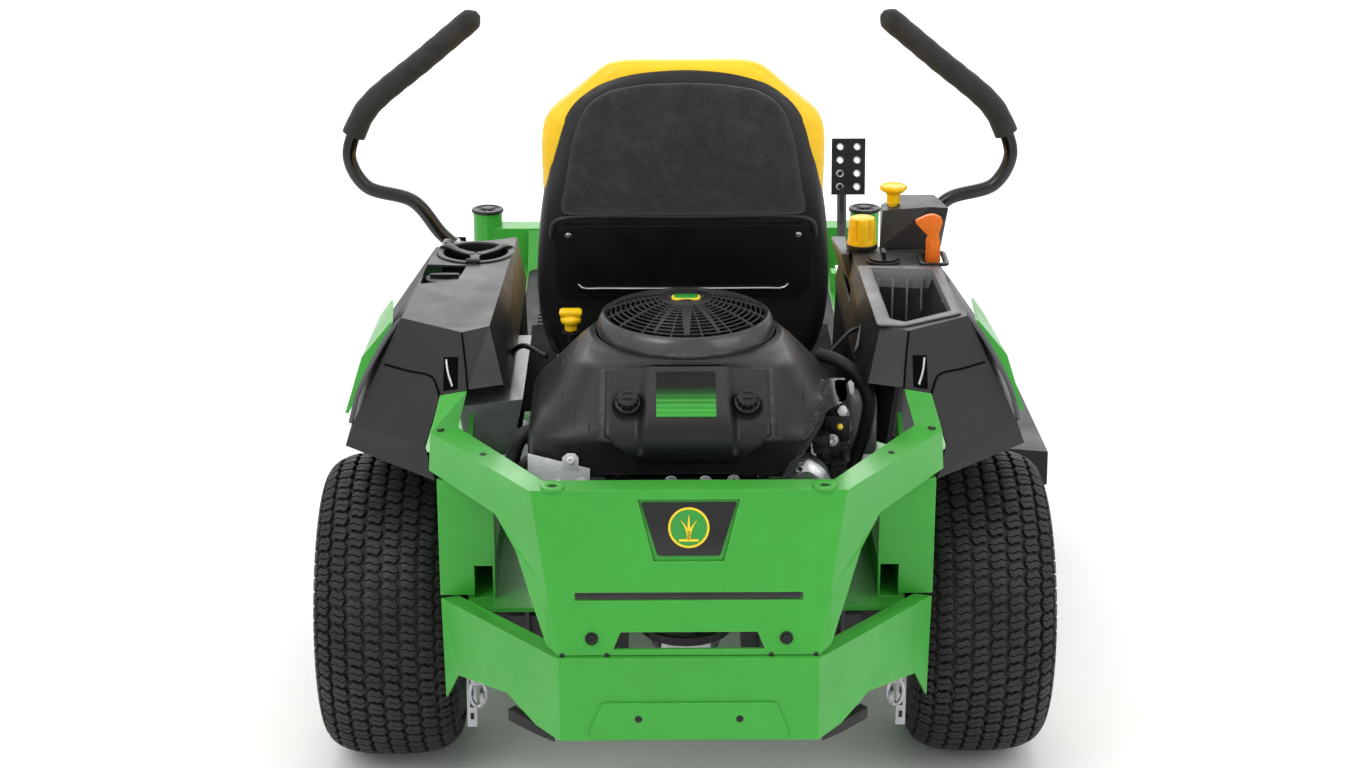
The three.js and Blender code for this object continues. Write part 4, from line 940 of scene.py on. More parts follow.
def oval(middle_y, half_x, half_y, power, height, count=180):
    """A level ring between an ellipse (power 2) and a rounded box (higher powers)."""
    ring = []
    for i in range(count):
        c, s = math.cos(2 * math.pi * i / count), math.sin(2 * math.pi * i / count)
        r = (abs(c / half_x) ** power + abs(s / half_y) ** power) ** (-1 / power)
        ring.append((r * c, middle_y + r * s, height))
    return ring


def ease(value, low, high):
    t = max(0.0, min(1.0, (value - low) / (high - low)))
    return t * t * (3 - 2 * t)


def cut_corner(point):
    """The shroud's lower edge climbs towards its rear right-hand corner."""
    x, y, z = point
    edge = 572 + 92 * ease(x, 118, 200) * (1 - ease(y, -230, -120))
    return x, y, max(z, edge)


def flange_y(z):
    """Where the cover's flange lies at a height."""
    line = COVER_FLANGE[:-1]
    for (ya, za), (yb, zb) in zip(line, line[1:]):
        if z >= zb:
            return ya + (yb - ya) * (za - z) / (za - zb)
    return line[-1][0]


def seated(point):
    """Flattens the rear of the shroud so that the air filter cover lies flush in it."""
    x, y, z = point
    if y > -200:
        return point
    share = (1 - ease(abs(x), 108, 196)) * (1 - ease(z, 699, 711)) * ease(z, 590, 626)
    return x, y + (flange_y(min(z, 700)) + 5 - y) * share, z


def engine_shroud():
    """The blower housing: a rounded box at its foot, a round neck at its top, open below."""
    shape = Shape()
    levels = ((562, 218, 156, -196, 7), (596, 218, 156, -196, 7), (620, 215, 154, -196, 6.5),
              (634, 207, 149, -194, 5.4), (646, 196, 144, -190, 4.6), (662, 182, 139, -184, 3.8),
              (680, 167, 135, -177, 3.0), (696, 153, 131, -170, 2.4), (706, 142, 128, -165, 2.1),
              (711, 136, 126, CRANK_Y, 2), (713, 126, 120, CRANK_Y, 2))
    fine = [levels[0]]
    for below, above in zip(levels, levels[1:]):
        fine += [tuple((p * (3 - k) + q * k) / 3 for p, q in zip(below, above)) for k in (1, 2, 3)]
    outer = [[cut_corner(seated(p)) for p in oval(y, a, b, n, z)] for z, a, b, y, n in fine]
    inner = [[cut_corner(seated(p)) for p in oval(y, a - 5, b - 9, n, z - 4)] for z, a, b, y, n in reversed(fine[1:-1])]
    shape.rings(outer + inner + [[cut_corner(p) for p in oval(-196, 214, 152, 7, 562)]], loop=True)
    # the thin dark lines along the creases are painted shade
    creases = [(-1, (-170, 716, 682), (-152, 702, 664), (-132, 686, 655)),
               (1, (123, 686, 652), (140, 704, 675), (158, 720, 680))]
    for sign, *lines in creases:
        for x, top, foot in lines:
            run = [on_shroud(levels, x, z, 0.4) for z in (top - 38, (top + foot) / 2 - 34, foot - 30)]
            shape.tube(run, [0.5, 1.5, 0.4], 8, 1, flat=1.4)
    piece("blower_housing", shape, ("cover", "dark"), "chassis", ["engine_shroud"], angle=60)


def on_shroud(levels, x, z, lift):
    """The rear surface of the shroud at a given width and height."""
    k = next(i for i in range(1, len(levels)) if levels[i][0] >= z)
    t = (z - levels[k - 1][0]) / (levels[k][0] - levels[k - 1][0])
    _, a, b, y, n = (levels[k - 1][i] + (levels[k][i] - levels[k - 1][i]) * t for i in range(5))
    inside = max(0.0, 1 - abs(x / a) ** n)
    x, y, z = seated((x, y - b * inside ** (1 / n), z))
    return x, y - lift, z


KNOB_TILT = (0, -0.659, 0.752)


def cover_width(z):
    """Half width of the air filter cover: straight sides, a step, then a taper to its foot."""
    if z > 632:
        return 112
    return 112 - 9 * ease(632 - z, 0, 7) - 32 * ease(625 - z, 0, 34)


def cover_point(t, u, inset=0.0, steps=64):
    """A point of the cover: t runs down its profile, u across it, inset goes in from the skin."""
    flange, boss = cover_lines()
    k = min(int(t * steps), steps - 1)
    f = t * steps - k
    base = flange[k].lerp(flange[k + 1], f)
    rise = boss[k].lerp(boss[k + 1], f) - base
    along = (flange[k + 1] - flange[k]).normalized()
    out = Vector((0, along.z, -along.y))
    x = u * cover_width(base.z)
    fall = 5 * (1 - math.sqrt(max(0.0, 1 - ease(abs(u), 0.93, 1.0) ** 2)))
    swell = 1 - ease(abs(x), 50 + 9 * t, 66 + 5 * t)
    dish = sum(3.2 * (1 - ease(math.hypot(x - side * 80, (base.z - 664) * 1.4), 15, 24)) for side in (-1, 1))
    point = base + rise * swell - out * (fall + dish * (inset == 0) + inset)
    return x, point.y, point.z


COVER_CACHE = {}


def cover_lines(steps=64):
    if not COVER_CACHE:
        COVER_CACHE["lines"] = tuple(curve_points([(0, y, z) for y, z in line], steps)
                                     for line in (COVER_FLANGE, COVER_BOSS))
    return COVER_CACHE["lines"]


def air_filter_cover():
    across, down = 84, 56
    shape = Shape()
    rings = []
    for j in range(down + 1):
        t = j / down
        skin = [cover_point(t, -1 + 2 * i / across) for i in range(across + 1)]
        back = [cover_point(t, 1 - 2 * i / across, 14) for i in range(across + 1)]
        rings.append(skin + back)
    shape.rings(rings)
    piece("filter_cover", shape, "cover", "chassis", ["air_filter_cover"], angle=60)
    shape = Shape()
    side = [cover_point(t / 20, 1.03, 5) for t in range(0, 13)]
    top = [cover_point(0.0, u, 5) for u in (0.96, 0.5, 0, -0.5, -0.96)]
    shape.tube(list(reversed(side)) + top + mirrored(side, -1), 3.0, 8, 0)
    foot = [(104, -300), (100, -342), (72, -356), (-72, -356), (-100, -342), (-104, -300)]
    shape.rings([[(x * s, -300 + (y + 300) * s, z) for x, y in foot]
                 for s, z in ((0.7, 566), (0.84, 576), (0.97, 590), (1.0, 612), (1.0, 632))])
    piece("filter_housing", shape, "dark", "chassis", bevel=1.5)
    shape = Shape()
    rings = []
    for j in range(13):
        t = 0.055 + 0.46 * j / 12
        row = [cover_point(t, u / 112, -0.9) for u in (-42, -20, 0, 20, 38)]
        rings.append(row + [(x, y + 0.8, z - 0.8) for x, y, z in reversed(row)])
    shape.rings(rings)
    piece("engine_plate_label", shape, "label", "chassis", bevel=0.2)
    for side, sign in SIDES:
        shape = Shape()
        seat = facing((sign * 80, -330 + KNOB_TILT[1] * 2, 664 + KNOB_TILT[2] * 2), KNOB_TILT)
        flutes = []
        for radius, height in ((17, 0), (17.5, 2), (16.8, 4), (13.4, 5), (14, 8), (14, 15), (12.6, 17.5), (8, 18.2),
                               (7, 16.5), (2, 16.2)):
            grip = 0.07 if 5 <= height <= 16 else 0.0
            flutes.append([(radius * (1 + grip * math.cos(12 * a)) * math.cos(a),
                            radius * (1 + grip * math.cos(12 * a)) * math.sin(a), height)
                           for a in (2 * math.pi * k / 96 for k in range(96))])
        shape.rings(flutes, 0, seat)
        shape.box((-12, -2, 15.5), (12, 2, 18.8), 0, seat)
        piece(f"{side}_cover_knob", shape, "dark", f"{side}_filter_knob", [f"{side}_filter_knob"])


def dome_height(radius):
    return 737 + 25 * (1 - (radius / 112) ** 2)


def fan_grille():
    """The debris screen: a satin band, thin rings on a shallow dome, ribs and a hub with a plain button."""
    axis = facing((0, CRANK_Y, 0), (0, 0, 1), (1, 0, 0))
    shape = Shape()
    shape.lathe([(119, 712.5), (123, 712.5), (124, 716), (123.4, 722), (120.6, 732), (118, 737), (114.5, 739.5),
                 (111, 739), (108.6, 736), (109.2, 732), (112.5, 731), (114, 724), (115, 716)], 96, 0, axis, loop=True)
    piece("grille_band", shape, "satin", "chassis", ["fan_guard"], angle=50)
    shape = Shape()
    for k in range(10):
        radius = 42 + 6.9 * k
        shape.tube([(radius * math.cos(a), CRANK_Y + radius * math.sin(a), dome_height(radius))
                    for a in (2 * math.pi * i / 72 for i in range(72))], 1.25, 6, 0, closed=True)
    for k in range(16):
        a = 2 * math.pi * (k + 0.5) / 16
        run = [(r * math.cos(a), CRANK_Y + r * math.sin(a), dome_height(r) - 1.2) for r in range(30, 112, 9)]
        shape.tube(run, 1.7, 6, 0, flat=1.6)
    for a, width in ((-1.57, 9), (-2.0, 5), (-1.14, 5)):
        left, right = [], []
        for r in range(28, 112, 7):
            half = width * (1.1 - r / 150)
            c, s = math.cos(a), math.sin(a)
            left.append((r * c - half * s, CRANK_Y + r * s + half * c, dome_height(r) + 1.2))
            right.append((r * c + half * s, CRANK_Y + r * s - half * c, dome_height(r) + 1.2))
        shape.rings([[l, r, (r[0], r[1], r[2] - 5), (l[0], l[1], l[2] - 5)] for l, r in zip(left, right)], 0)
    shape.lathe([(37, 752), (38, 756), (36, 761), (31, 763.5), (26, 764), (24.5, 765.5), (20, 766), (2, 766)],
                64, 0, axis)
    piece("grille_rings", shape, "cover", "chassis")
    shape = Shape()
    for grow, low, high, mark in ((1.0, 765.4, 767.6, 1), (0.84, 767.2, 768.8, 0)):
        outline = rounded([(-20 * grow, -10 * grow), (20 * grow, -10 * grow), (20 * grow, 10 * grow),
                           (-20 * grow, 10 * grow)], 9 * grow, 6)
        shape.slab([(x, y + CRANK_Y - 14) for x, y in outline], low - 2, high - 1, mark)
    piece("grille_button", shape, ("emblem", "mark"), "chassis", bevel=0.5)
    shape = Shape()
    shape.lathe([(9, 0), (9.5, 0.6), (8.6, 1.2), (1, 1.3)], 32, 0, facing((132, -252, 686), (0.52, -0.42, 0.75)))
    piece("yellow_dot", shape, "mark", "chassis")


def dipstick():
    low, high = (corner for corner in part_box("dipstick"))
    centre = ((low + high) / 2 - AXLE) / MM
    top = (high - AXLE).z / MM
    shape = Shape()
    shape.lathe([(6, -34), (6, -22), (13, -21), (15, -18), (15, -13), (12, -11), (10, -9)], 32, 0,
                facing((centre.x, centre.y, top), (0, 0, 1)))
    shape.rings([[(centre.x + x * w, centre.y + y * w * 0.55, top + z) for x, y in
                  ((-1, -1), (1, -1), (1, 1), (-1, 1))]
                 for w, z in ((9, -13), (15, -9), (17, -3), (13, 0))], 0)
    piece("dipstick_handle", shape, "yellow", "dipstick", bevel=2.2, segments=3)
    shape = Shape()
    shape.tube([(centre.x, centre.y, z) for z in (560, 600, 640, top - 34)], [13, 13, 12, 13], 20)
    piece("dipstick_tube", shape, "dark", "chassis")


def engine_details():
    """Heat shield, cylinder heads, hoses, loom, plugs and fasteners round the foot of the engine."""
    plane = facing((0, BLOCK_REAR, 0), (0, -1, 0), (1, 0, 0))
    shape = Shape()
    shape.slab([(-214, 604), (-131, 582), (-132, 530), (-160, 530), (-214, 546)], 25, 27, 0, plane)
    shape.slab([(-168, 582), (-146, 578), (-146, 598), (-151, 604), (-161, 604), (-168, 598)], 25, 27.4, 0, plane)
    shape.dome((-157, BLOCK_REAR - 27, 594), (0, -1, 0.2), 6, 4)
    shape.dome((-174, BLOCK_REAR - 27, 562), (0, -1, 0.2), 5, 3)
    for x in (-205, -142):
        shape.bolt((x, BLOCK_REAR - 27, 553 + 10 * (x > -200)), (0, -1, 0), 5, 4)
    piece("heat_shield", shape, "shield", "chassis", bevel=1.0)
    for side, sign in SIDES:
        shape = Shape()
        base = rounded([(124, 444), (196, 452), (204, 520), (190, 566), (160, 588), (134, 572)], 14, 4)
        base = [(sign * x, z) for x, z in base]
        middle = (sign * 164, 510)
        shape.rings([[plane @ Vector((middle[0] + (x - middle[0]) * s, middle[1] + (z - middle[1]) * s, d))
                      for x, z in base] for s, d in ((1.0, -30), (1.0, -4), (0.94, 2), (0.8, 8), (0.74, 8))])
        for k in range(7):
            z = 462 + 14 * k
            shape.box((sign * 164 - 52, BLOCK_REAR + 22, z), (sign * 164 + 52, BLOCK_REAR + 34, z + 3))
        for x, z in ((136, 470), (188, 470), (192, 530), (150, 572)):
            shape.bolt((sign * x, BLOCK_REAR - 1, z), (0, -1, 0.1), 6.5, 6, 1)
        shape.lathe([(7, 0), (9, 1), (9, 3), (5, 3.5), (4, 0.5)], 24, 2, plane @ facing((sign * 166, 548, 8), (0, 0, 1)))
        piece(f"{side}_valve_cover", shape, ("cast_bright", "steel", "dark"), "chassis", bevel=2.0)
    shape = Shape()
    loom = curve_points([(186, -262, 646), (179, -300, 632), (164, -330, 616), (146, -344, 592), (132, -350, 562),
                         (122, -352, 520), (112, -340, 470)], 120)
    shape.tube(loom, [6.2 + 0.9 * (k % 2) for k in range(len(loom))], 14)
    loom = curve_points([(206, -250, 596), (214, -280, 560), (206, -290, 520), (210, -270, 470), (224, -230, 430)], 90)
    shape.tube(loom, [5.2 + 0.8 * (k % 2) for k in range(len(loom))], 12)
    for path, radius in (
            ([(190, -90, 652), (217, -105, 648), (246, -110, 626), (262, -112, 590), (258, -112, 545), (243, -115, 496),
              (228, -120, 440)], 9.5),
            ([(-196, -250, 600), (-224, -262, 596), (-240, -262, 560), (-242, -255, 505), (-232, -240, 450)], 10.5),
            ([(-190, -286, 575), (-222, -292, 566), (-228, -290, 520), (-214, -280, 470)], 6.5),
            ([(205, -60, 640), (238, -20, 660), (262, 30, 650), (276, 80, 610)], 3.0),
            ([(-200, -60, 640), (-236, -10, 640), (-262, 40, 600), (-280, 60, 560)], 4.0)):
        shape.tube(curve_points(path, 60), radius, 16)
    piece("hoses_and_loom", shape, "rubber", "chassis")
    shape = Shape()
    for x, y, z, w, d, h in ((206, -262, 606, 17, 14, 20), (196, -286, 582, 12, 10, 16), (214, -280, 578, 9, 9, 14),
                             (182, -306, 600, 11, 12, 12), (206, -300, 552, 10, 9, 18), (172, -316, 528, 16, 9, 12),
                             (-60, -334, 552, 18, 10, 9), (64, -334, 548, 20, 10, 10), (0, -338, 556, 34, 12, 8)):
        shape.box((x - w, y - d, z - h), (x + w, y + d, z + h))
        shape.box((x - w * 0.6, y - d - 3, z - h * 0.6), (x + w * 0.6, y - d + 1, z + h * 0.6))
    shape.lathe([(4, 0), (4.4, 1), (3, 2.4), (0.6, 2.6)], 20, 1, facing((209, -279, 612), (0, -1, 0.2)))
    for point in ((197, -300, 600), (182, -320, 548), (62, -346, 560), (-22, -350, 560), (24, -350, 560)):
        shape.bolt(point, (0, -1, 0.25), 6, 5, 2)
    shape.lathe([(9, 0), (9, 3), (8, 5), (8, 9), (3, 9.5)], 6, 2, facing((210, -272, 632), (0.25, -1, 0.4)))
    for x, z in ((-90, 548), (92, 546), (40, 548), (-44, 546)):
        shape.lathe([(11, 0), (11, 20), (8, 24), (5, 24)], 24, 2, facing((x, -318, z), (0, -1, 0)))
    piece("engine_plugs", shape, ("dark", "mark", "steel"), "chassis", bevel=1.2)
    shape = Shape()
    shape.tube([(202, y, 588) for y in (-232, -226, -160, -154)], [24, 29, 29, 22], 36)
    shape.tube([(196, y, 548) for y in (-222, -216, -168)], [12, 15, 15], 24)
    shape.bolt((202, -232, 588), (0, -1, 0), 9, 6, 1)
    piece("starter_motor", shape, ("satin", "steel"), "chassis", bevel=1.0)
    shape = Shape()
    shape.rings([oval(-60, 22 * s, 46 * s, 5, z, 64) for s, z in
                 ((0.8, 502), (0.94, 504), (1.0, 512), (1.0, 574), (0.94, 585), (0.8, 590), (0.3, 592))],
                0, Matrix.Translation((256, 0, 0)))
    shape.lathe([(11, 588), (11, 600), (14, 601), (14, 609), (12, 611), (2, 611)], 32, 1,
                facing((256, -60, 0), (0, 0, 1)))
    piece("side_canister", shape, ("tank", "dark"), "chassis")


engine_shroud()
air_filter_cover()
fan_grille()
dipstick()
engine_details()


# ---------------------------------------------------------------- rear guard and bumper

GUARD_FACE = facing((0, -455, 590), (0, -0.9791, 0.2034), (1, 0, 0))
GUARD_SLOPE = 27 / 130


def on_guard(x, z, out=0.0):
    """A point on the guard's rear face, or a way out from it."""
    return GUARD_FACE @ Vector((x, (z - 590) * math.hypot(1, GUARD_SLOPE), out))


def guard_slab(shape, outline, low, high, mark=0):
    return shape.rings([[on_guard(x, z, d) for x, z in outline] for d in (low, high)], mark)


def badge():
    """A black plate in the guard's opening with a generic round medallion: three blades of grass."""
    shape = Shape()
    guard_slab(shape, rounded([(-66.5, 577.5), (66.5, 577.5), (45.8, 497.5), (-45.8, 497.5)], 3, 3), -7, -4, 0)
    piece("badge_recess", shape, "green", "chassis", bevel=0.8)
    shape = Shape()
    guard_slab(shape, rounded([(-63, 574), (63, 574), (41, 504), (-41, 504)], 3, 3), -4.5, -1.6, 0)
    piece("badge_plate", shape, "gloss_black", "chassis", bevel=0.9)
    shape = Shape()
    centre = on_guard(0, 541, -1.6)
    dial = facing(centre, (0, -0.9791, 0.2034), (1, 0, 0))
    shape.lathe([(27, 0), (27, 1.4), (26, 2.2), (24.6, 2.2), (24, 1.4), (24, 0)], 72, 1, dial, loop=True)
    shape.lathe([(24.4, 0), (24.4, 1.2), (20, 1.6), (1, 1.7)], 72, 0, dial)
    for lean, tall, wide in ((-0.55, 27, 5), (0.0, 34, 5.4), (0.55, 27, 5)):
        outline = []
        for k in range(13):
            t = k / 12
            outline.append((lean * tall * t * t * 0.75 - wide * (1 - t) ** 0.7 * 0.5, -16 + tall * t))
        for k in range(12, -1, -1):
            t = k / 12
            outline.append((lean * tall * t * t * 0.75 + wide * (1 - t) ** 0.7 * 0.5, -16 + tall * t))
        shape.slab(outline[:12] + outline[13:], 1.2, 2.6, 1, dial)
    shape.slab(rounded([(-13, -18), (13, -18), (13, -15), (-13, -15)], 1.4, 3), 1.2, 2.6, 1, dial)
    piece("badge_medallion", shape, ("emblem", "mark"), "chassis")


def guard_hardware():
    shape = Shape()
    out = (0, -0.9783, 0.2072)
    for x in (-128, 128):
        shape.bolt((x, -495.6, 397), out, 6, 5, 0, 2)
    for x in (-108, 108, -167, 167):
        shape.dome((x, -500.4, 375), out, 3.4, 1.2)
    for sign in (-1, 1):
        for point in ((337, -264, 428), (301, -264, 470), (288, -264, 512), (320, -264, 520)):
            shape.dome((sign * point[0], point[1], point[2]), (0, -1, 0), 5.5, 2)
        shape.dome((sign * 67, -509, 286), (0, -1, 0), 5.4, 1.4)
        shape.dome((sign * 341, -229, 591), (0, 0, 1), 6, 2)
        shape.dome((sign * 276, -322, 590.5), (0, 0, 1), 4.6, 1.0)
    piece("guard_fasteners", shape, "dark", "chassis")
    shape = Shape()
    for sign in (-1, 1):
        lug = facing((sign * 178, -444, 590), (0, 0, 1), (1, 0, 0))
        shape.lathe([(6.5, -1), (16, -1), (16, 2.4), (14.6, 3.4), (7.6, 3.4), (6.5, 2.4)], 36, 0, lug, loop=True)
        shape.lathe([(6.6, -1), (6.6, 0.6), (1, 0.6)], 24, 1, lug)
    outline = rounded([(-116, 309), (116, 309), (130, 276), (134, 256), (-134, 256), (-130, 276)], 5, 3)
    flat = facing((0, -506, 0), (0, -1, 0), (1, 0, 0))
    shape.rings([[flat @ Vector((x * s, z + (1 - s) * 8, d)) for x, z in outline]
                 for s, d in ((1.0, -1), (0.99, 2.6), (0.96, 3.6))], 0)
    piece("bumper_panel", shape, ("green", "dark"), "chassis", bevel=0.8)
    shape = Shape()
    for sign in (-1, 1):
        shape.slab(rounded([(sign * 208, -452), (sign * 178, -478), (sign * 236, -398), (sign * 246, -410)], 3, 2),
                   236, 252)
    piece("bumper_pads", shape, "rubber", "chassis", bevel=1.5)
    shape = Shape()
    for sign in (-1, 1):
        loop = [(sign * (294 + 11 * math.cos(a)), -300, 222 + 20 * math.sin(a))
                for a in (2 * math.pi * k / 40 for k in range(40))]
        shape.tube(loop, 3.2, 12, 0, closed=True)
        shape.bolt((sign * 294, -304, 246), (0, -1, 0), 7, 5)
        shape.box((sign * 306 - 7, -262, 150), (sign * 306 + 7, -258, 236), 1)
        for k in range(4):
            shape.box((sign * 306 - 2.5, -263, 162 + 19 * k), (sign * 306 + 2.5, -261.6, 172 + 19 * k), 2)
    piece("tie_down_loops", shape, ("steel", "white", "dark"), "chassis", bevel=0.8)


badge()
guard_hardware()


# ---------------------------------------------------------------- consoles and controls

CUP_CENTRE = (-321, 266)


def flat_ring(shape, outer, inner, low, high, mark=0):
    """A flat rim between two matching outlines."""
    levels = ((outer, low), (outer, high), (inner, high), (inner, low))
    return shape.rings([[(x, y, z) for x, y in outline] for outline, z in levels], mark, loop=True)


def console_details(side, sign):
    shape = Shape()
    # the slot is a real opening, drawn in near-black painted shade
    slot = mirrored([(341, -133, 665), (320, -146, 669), (319, -173, 631), (341, -163, 625)], sign)
    back = [(x, y + 5, z) for x, y, z in slot]
    shape.rings([[(x, y - 1.2, z + 0.4) for x, y, z in slot], back], 0)
    rod = mirrored([(337, -139, 663), (334, -152, 648), (327, -171, 634)], sign)
    shape.tube(curve_points(rod, 12), 2.0, 10, 1)
    # thin near-black lines along the console's creases: painted shade
    for line in ([(430, -88, 639), (396, -114, 638.5), (358, -141, 637.5), (349, -158, 624), (346, -166, 616)],
                 [(315, -129, 699), (309, -160, 667), (305, -184, 634)]):
        shape.tube(curve_points(mirrored(line, sign), 30), 1.6, 8, 0)
    piece(f"{side}_console_slot", shape, ("void", "brushed"), "chassis", bevel=0.3)
    shape = Shape()
    edge = [(409, -50, 694), (424, -66, 678), (448, -84, 640), (468, -98, 600), (480, -104, 556)]
    shape.tube(curve_points(mirrored(edge, sign), 60), 4.0, 12, 0, flat=0.8)
    piece(f"{side}_console_edging", shape, "rim", "chassis")
    shape = Shape()
    boot = [[(sign * 370 + x * s, 493 + y * s, z) for x, y in rounded([(-22, -15), (22, -15), (22, 15), (-22, 15)], 7, 4)]
            for s, z in ((1.15, 585), (1.15, 588), (0.98, 591), (1.06, 596), (0.9, 600), (0.98, 605), (0.82, 609),
                         (0.5, 612))]
    shape.rings(boot)
    piece(f"{side}_lever_boot", shape, "rubber", f"{side}_arm", bevel=0.8)


def cup_holder():
    shape = Shape()
    axis = facing((*CUP_CENTRE, 0), (0, 0, 1), (1, 0, 0))
    shape.lathe([(49.2, 644), (49.2, 700.5), (51, 702.5), (57, 703), (60, 702), (60.5, 700.3), (52, 700.2), (50.6, 698),
                 (50.6, 644)], 72, 0, axis, loop=True)
    shape.lathe([(48.6, 643), (48.6, 646), (44, 646.5), (1, 646.5)], 64, 0, axis)
    for k in range(3):
        a = 2 * math.pi * k / 3 + 0.52
        c, s = math.cos(a), math.sin(a)
        rings = []
        for r, z, w in ((0, 699, 9), (16, 699, 7), (34, 701, 6.5), (46, 705, 8), (54, 707, 11), (60, 705, 11)):
            rings.append([(CUP_CENTRE[0] + r * c - w * s, CUP_CENTRE[1] + r * s + w * c, z),
                          (CUP_CENTRE[0] + r * c + w * s, CUP_CENTRE[1] + r * s - w * c, z),
                          (CUP_CENTRE[0] + r * c + w * s, CUP_CENTRE[1] + r * s - w * c, z - 5),
                          (CUP_CENTRE[0] + r * c - w * s, CUP_CENTRE[1] + r * s + w * c, z - 5)])
        shape.rings(rings)
    piece("cup_insert", shape, "dark", "chassis", bevel=0.8)


def fuel_cap():
    low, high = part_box("fuel_cap")
    centre = ((low + high) / 2 - AXLE) / MM
    base, radius = (low - AXLE).z / MM, 31
    shape = Shape()
    rings = []
    for r, h in ((radius - 1, 0), (radius, 2), (radius, 19), (radius - 2, 22), (radius - 8, 23), (14, 23), (13, 22),
                 (2, 22)):
        rib = 0.045 if 1 < h < 20 else 0.0
        rings.append([(r * (1 + rib * math.cos(20 * a)) * math.cos(a), r * (1 + rib * math.cos(20 * a)) * math.sin(a), h)
                      for a in (2 * math.pi * k / 120 for k in range(120))])
    shape.rings(rings, 0, facing((centre.x, centre.y, base), (0, 0, 1)))
    shape.box((centre.x - 22, centre.y - 4, base + 22), (centre.x + 22, centre.y + 4, base + 28))
    piece("fuel_filler_cap", shape, "dark", "fuel_cap", ["fuel_cap"], bevel=0.7)
    shape = Shape()
    shape.rings([[(centre.x + x, centre.y + y, z) for x, y in ((28, 22), (44, 18), (46, -2), (34, -14))]
                 for z in (672, 684)], 0)
    shape.tube([(centre.x + 38, centre.y + 18, 682), (centre.x + 42, centre.y + 6, 687),
                (centre.x + 38, centre.y - 8, 683)], 3.2, 12, 1)
    piece("filler_latch", shape, ("dark", "brushed"), "chassis", bevel=1.2)


def storage_bin():
    """A pale moulded rim, a grey lining and its clips round the tray in the right-hand console."""
    outer = [(266, 181), (394, 169), (398, -57), (310, -115), (272, -110)]
    mouth = [(284.5, 168.5), (378.5, 158.5), (384.5, -47), (312, -100), (291.5, -85)]
    shape = Shape()
    flat_ring(shape, rounded(outer, 6, 4), rounded(mouth, 6, 4), 700.3, 703.2)
    piece("bin_rim", shape, "rim", "chassis", bevel=1.0)
    shape = Shape()
    centre = Vector((335, 38))
    rings = []
    for inset, z in ((0.0, 702), (0.0, 690), (0.03, 600), (0.07, 524), (0.12, 518.5)):
        rings.append([(p[0] + (centre.x - p[0]) * inset, p[1] + (centre.y - p[1]) * inset, z)
                      for p in rounded(mouth, 6, 4)])
    inner = [[(x + (centre.x - x) * 0.02, y + (centre.y - y) * 0.02, z + 1) for x, y, z in ring]
             for ring in reversed(rings)]
    floor = [[(x + (centre.x - x) * 0.9, y + (centre.y - y) * 0.9, z) for x, y, z in ring]
             for ring in (rings[-1], inner[0])]
    shape.rings(rings + floor + inner, 0, loop=True)
    for x in (296, 318, 340, 362):
        shape.box((x - 1.5, 150, 530), (x + 1.5, 155, 690))
    for y in (110, 40, -30):
        shape.box((380, y - 8, 672), (384, y + 8, 690), 1)
        shape.box((288, y - 8, 672), (292, y + 8, 690), 1)
    piece("bin_lining", shape, ("lining", "dark"), "chassis", bevel=0.6)


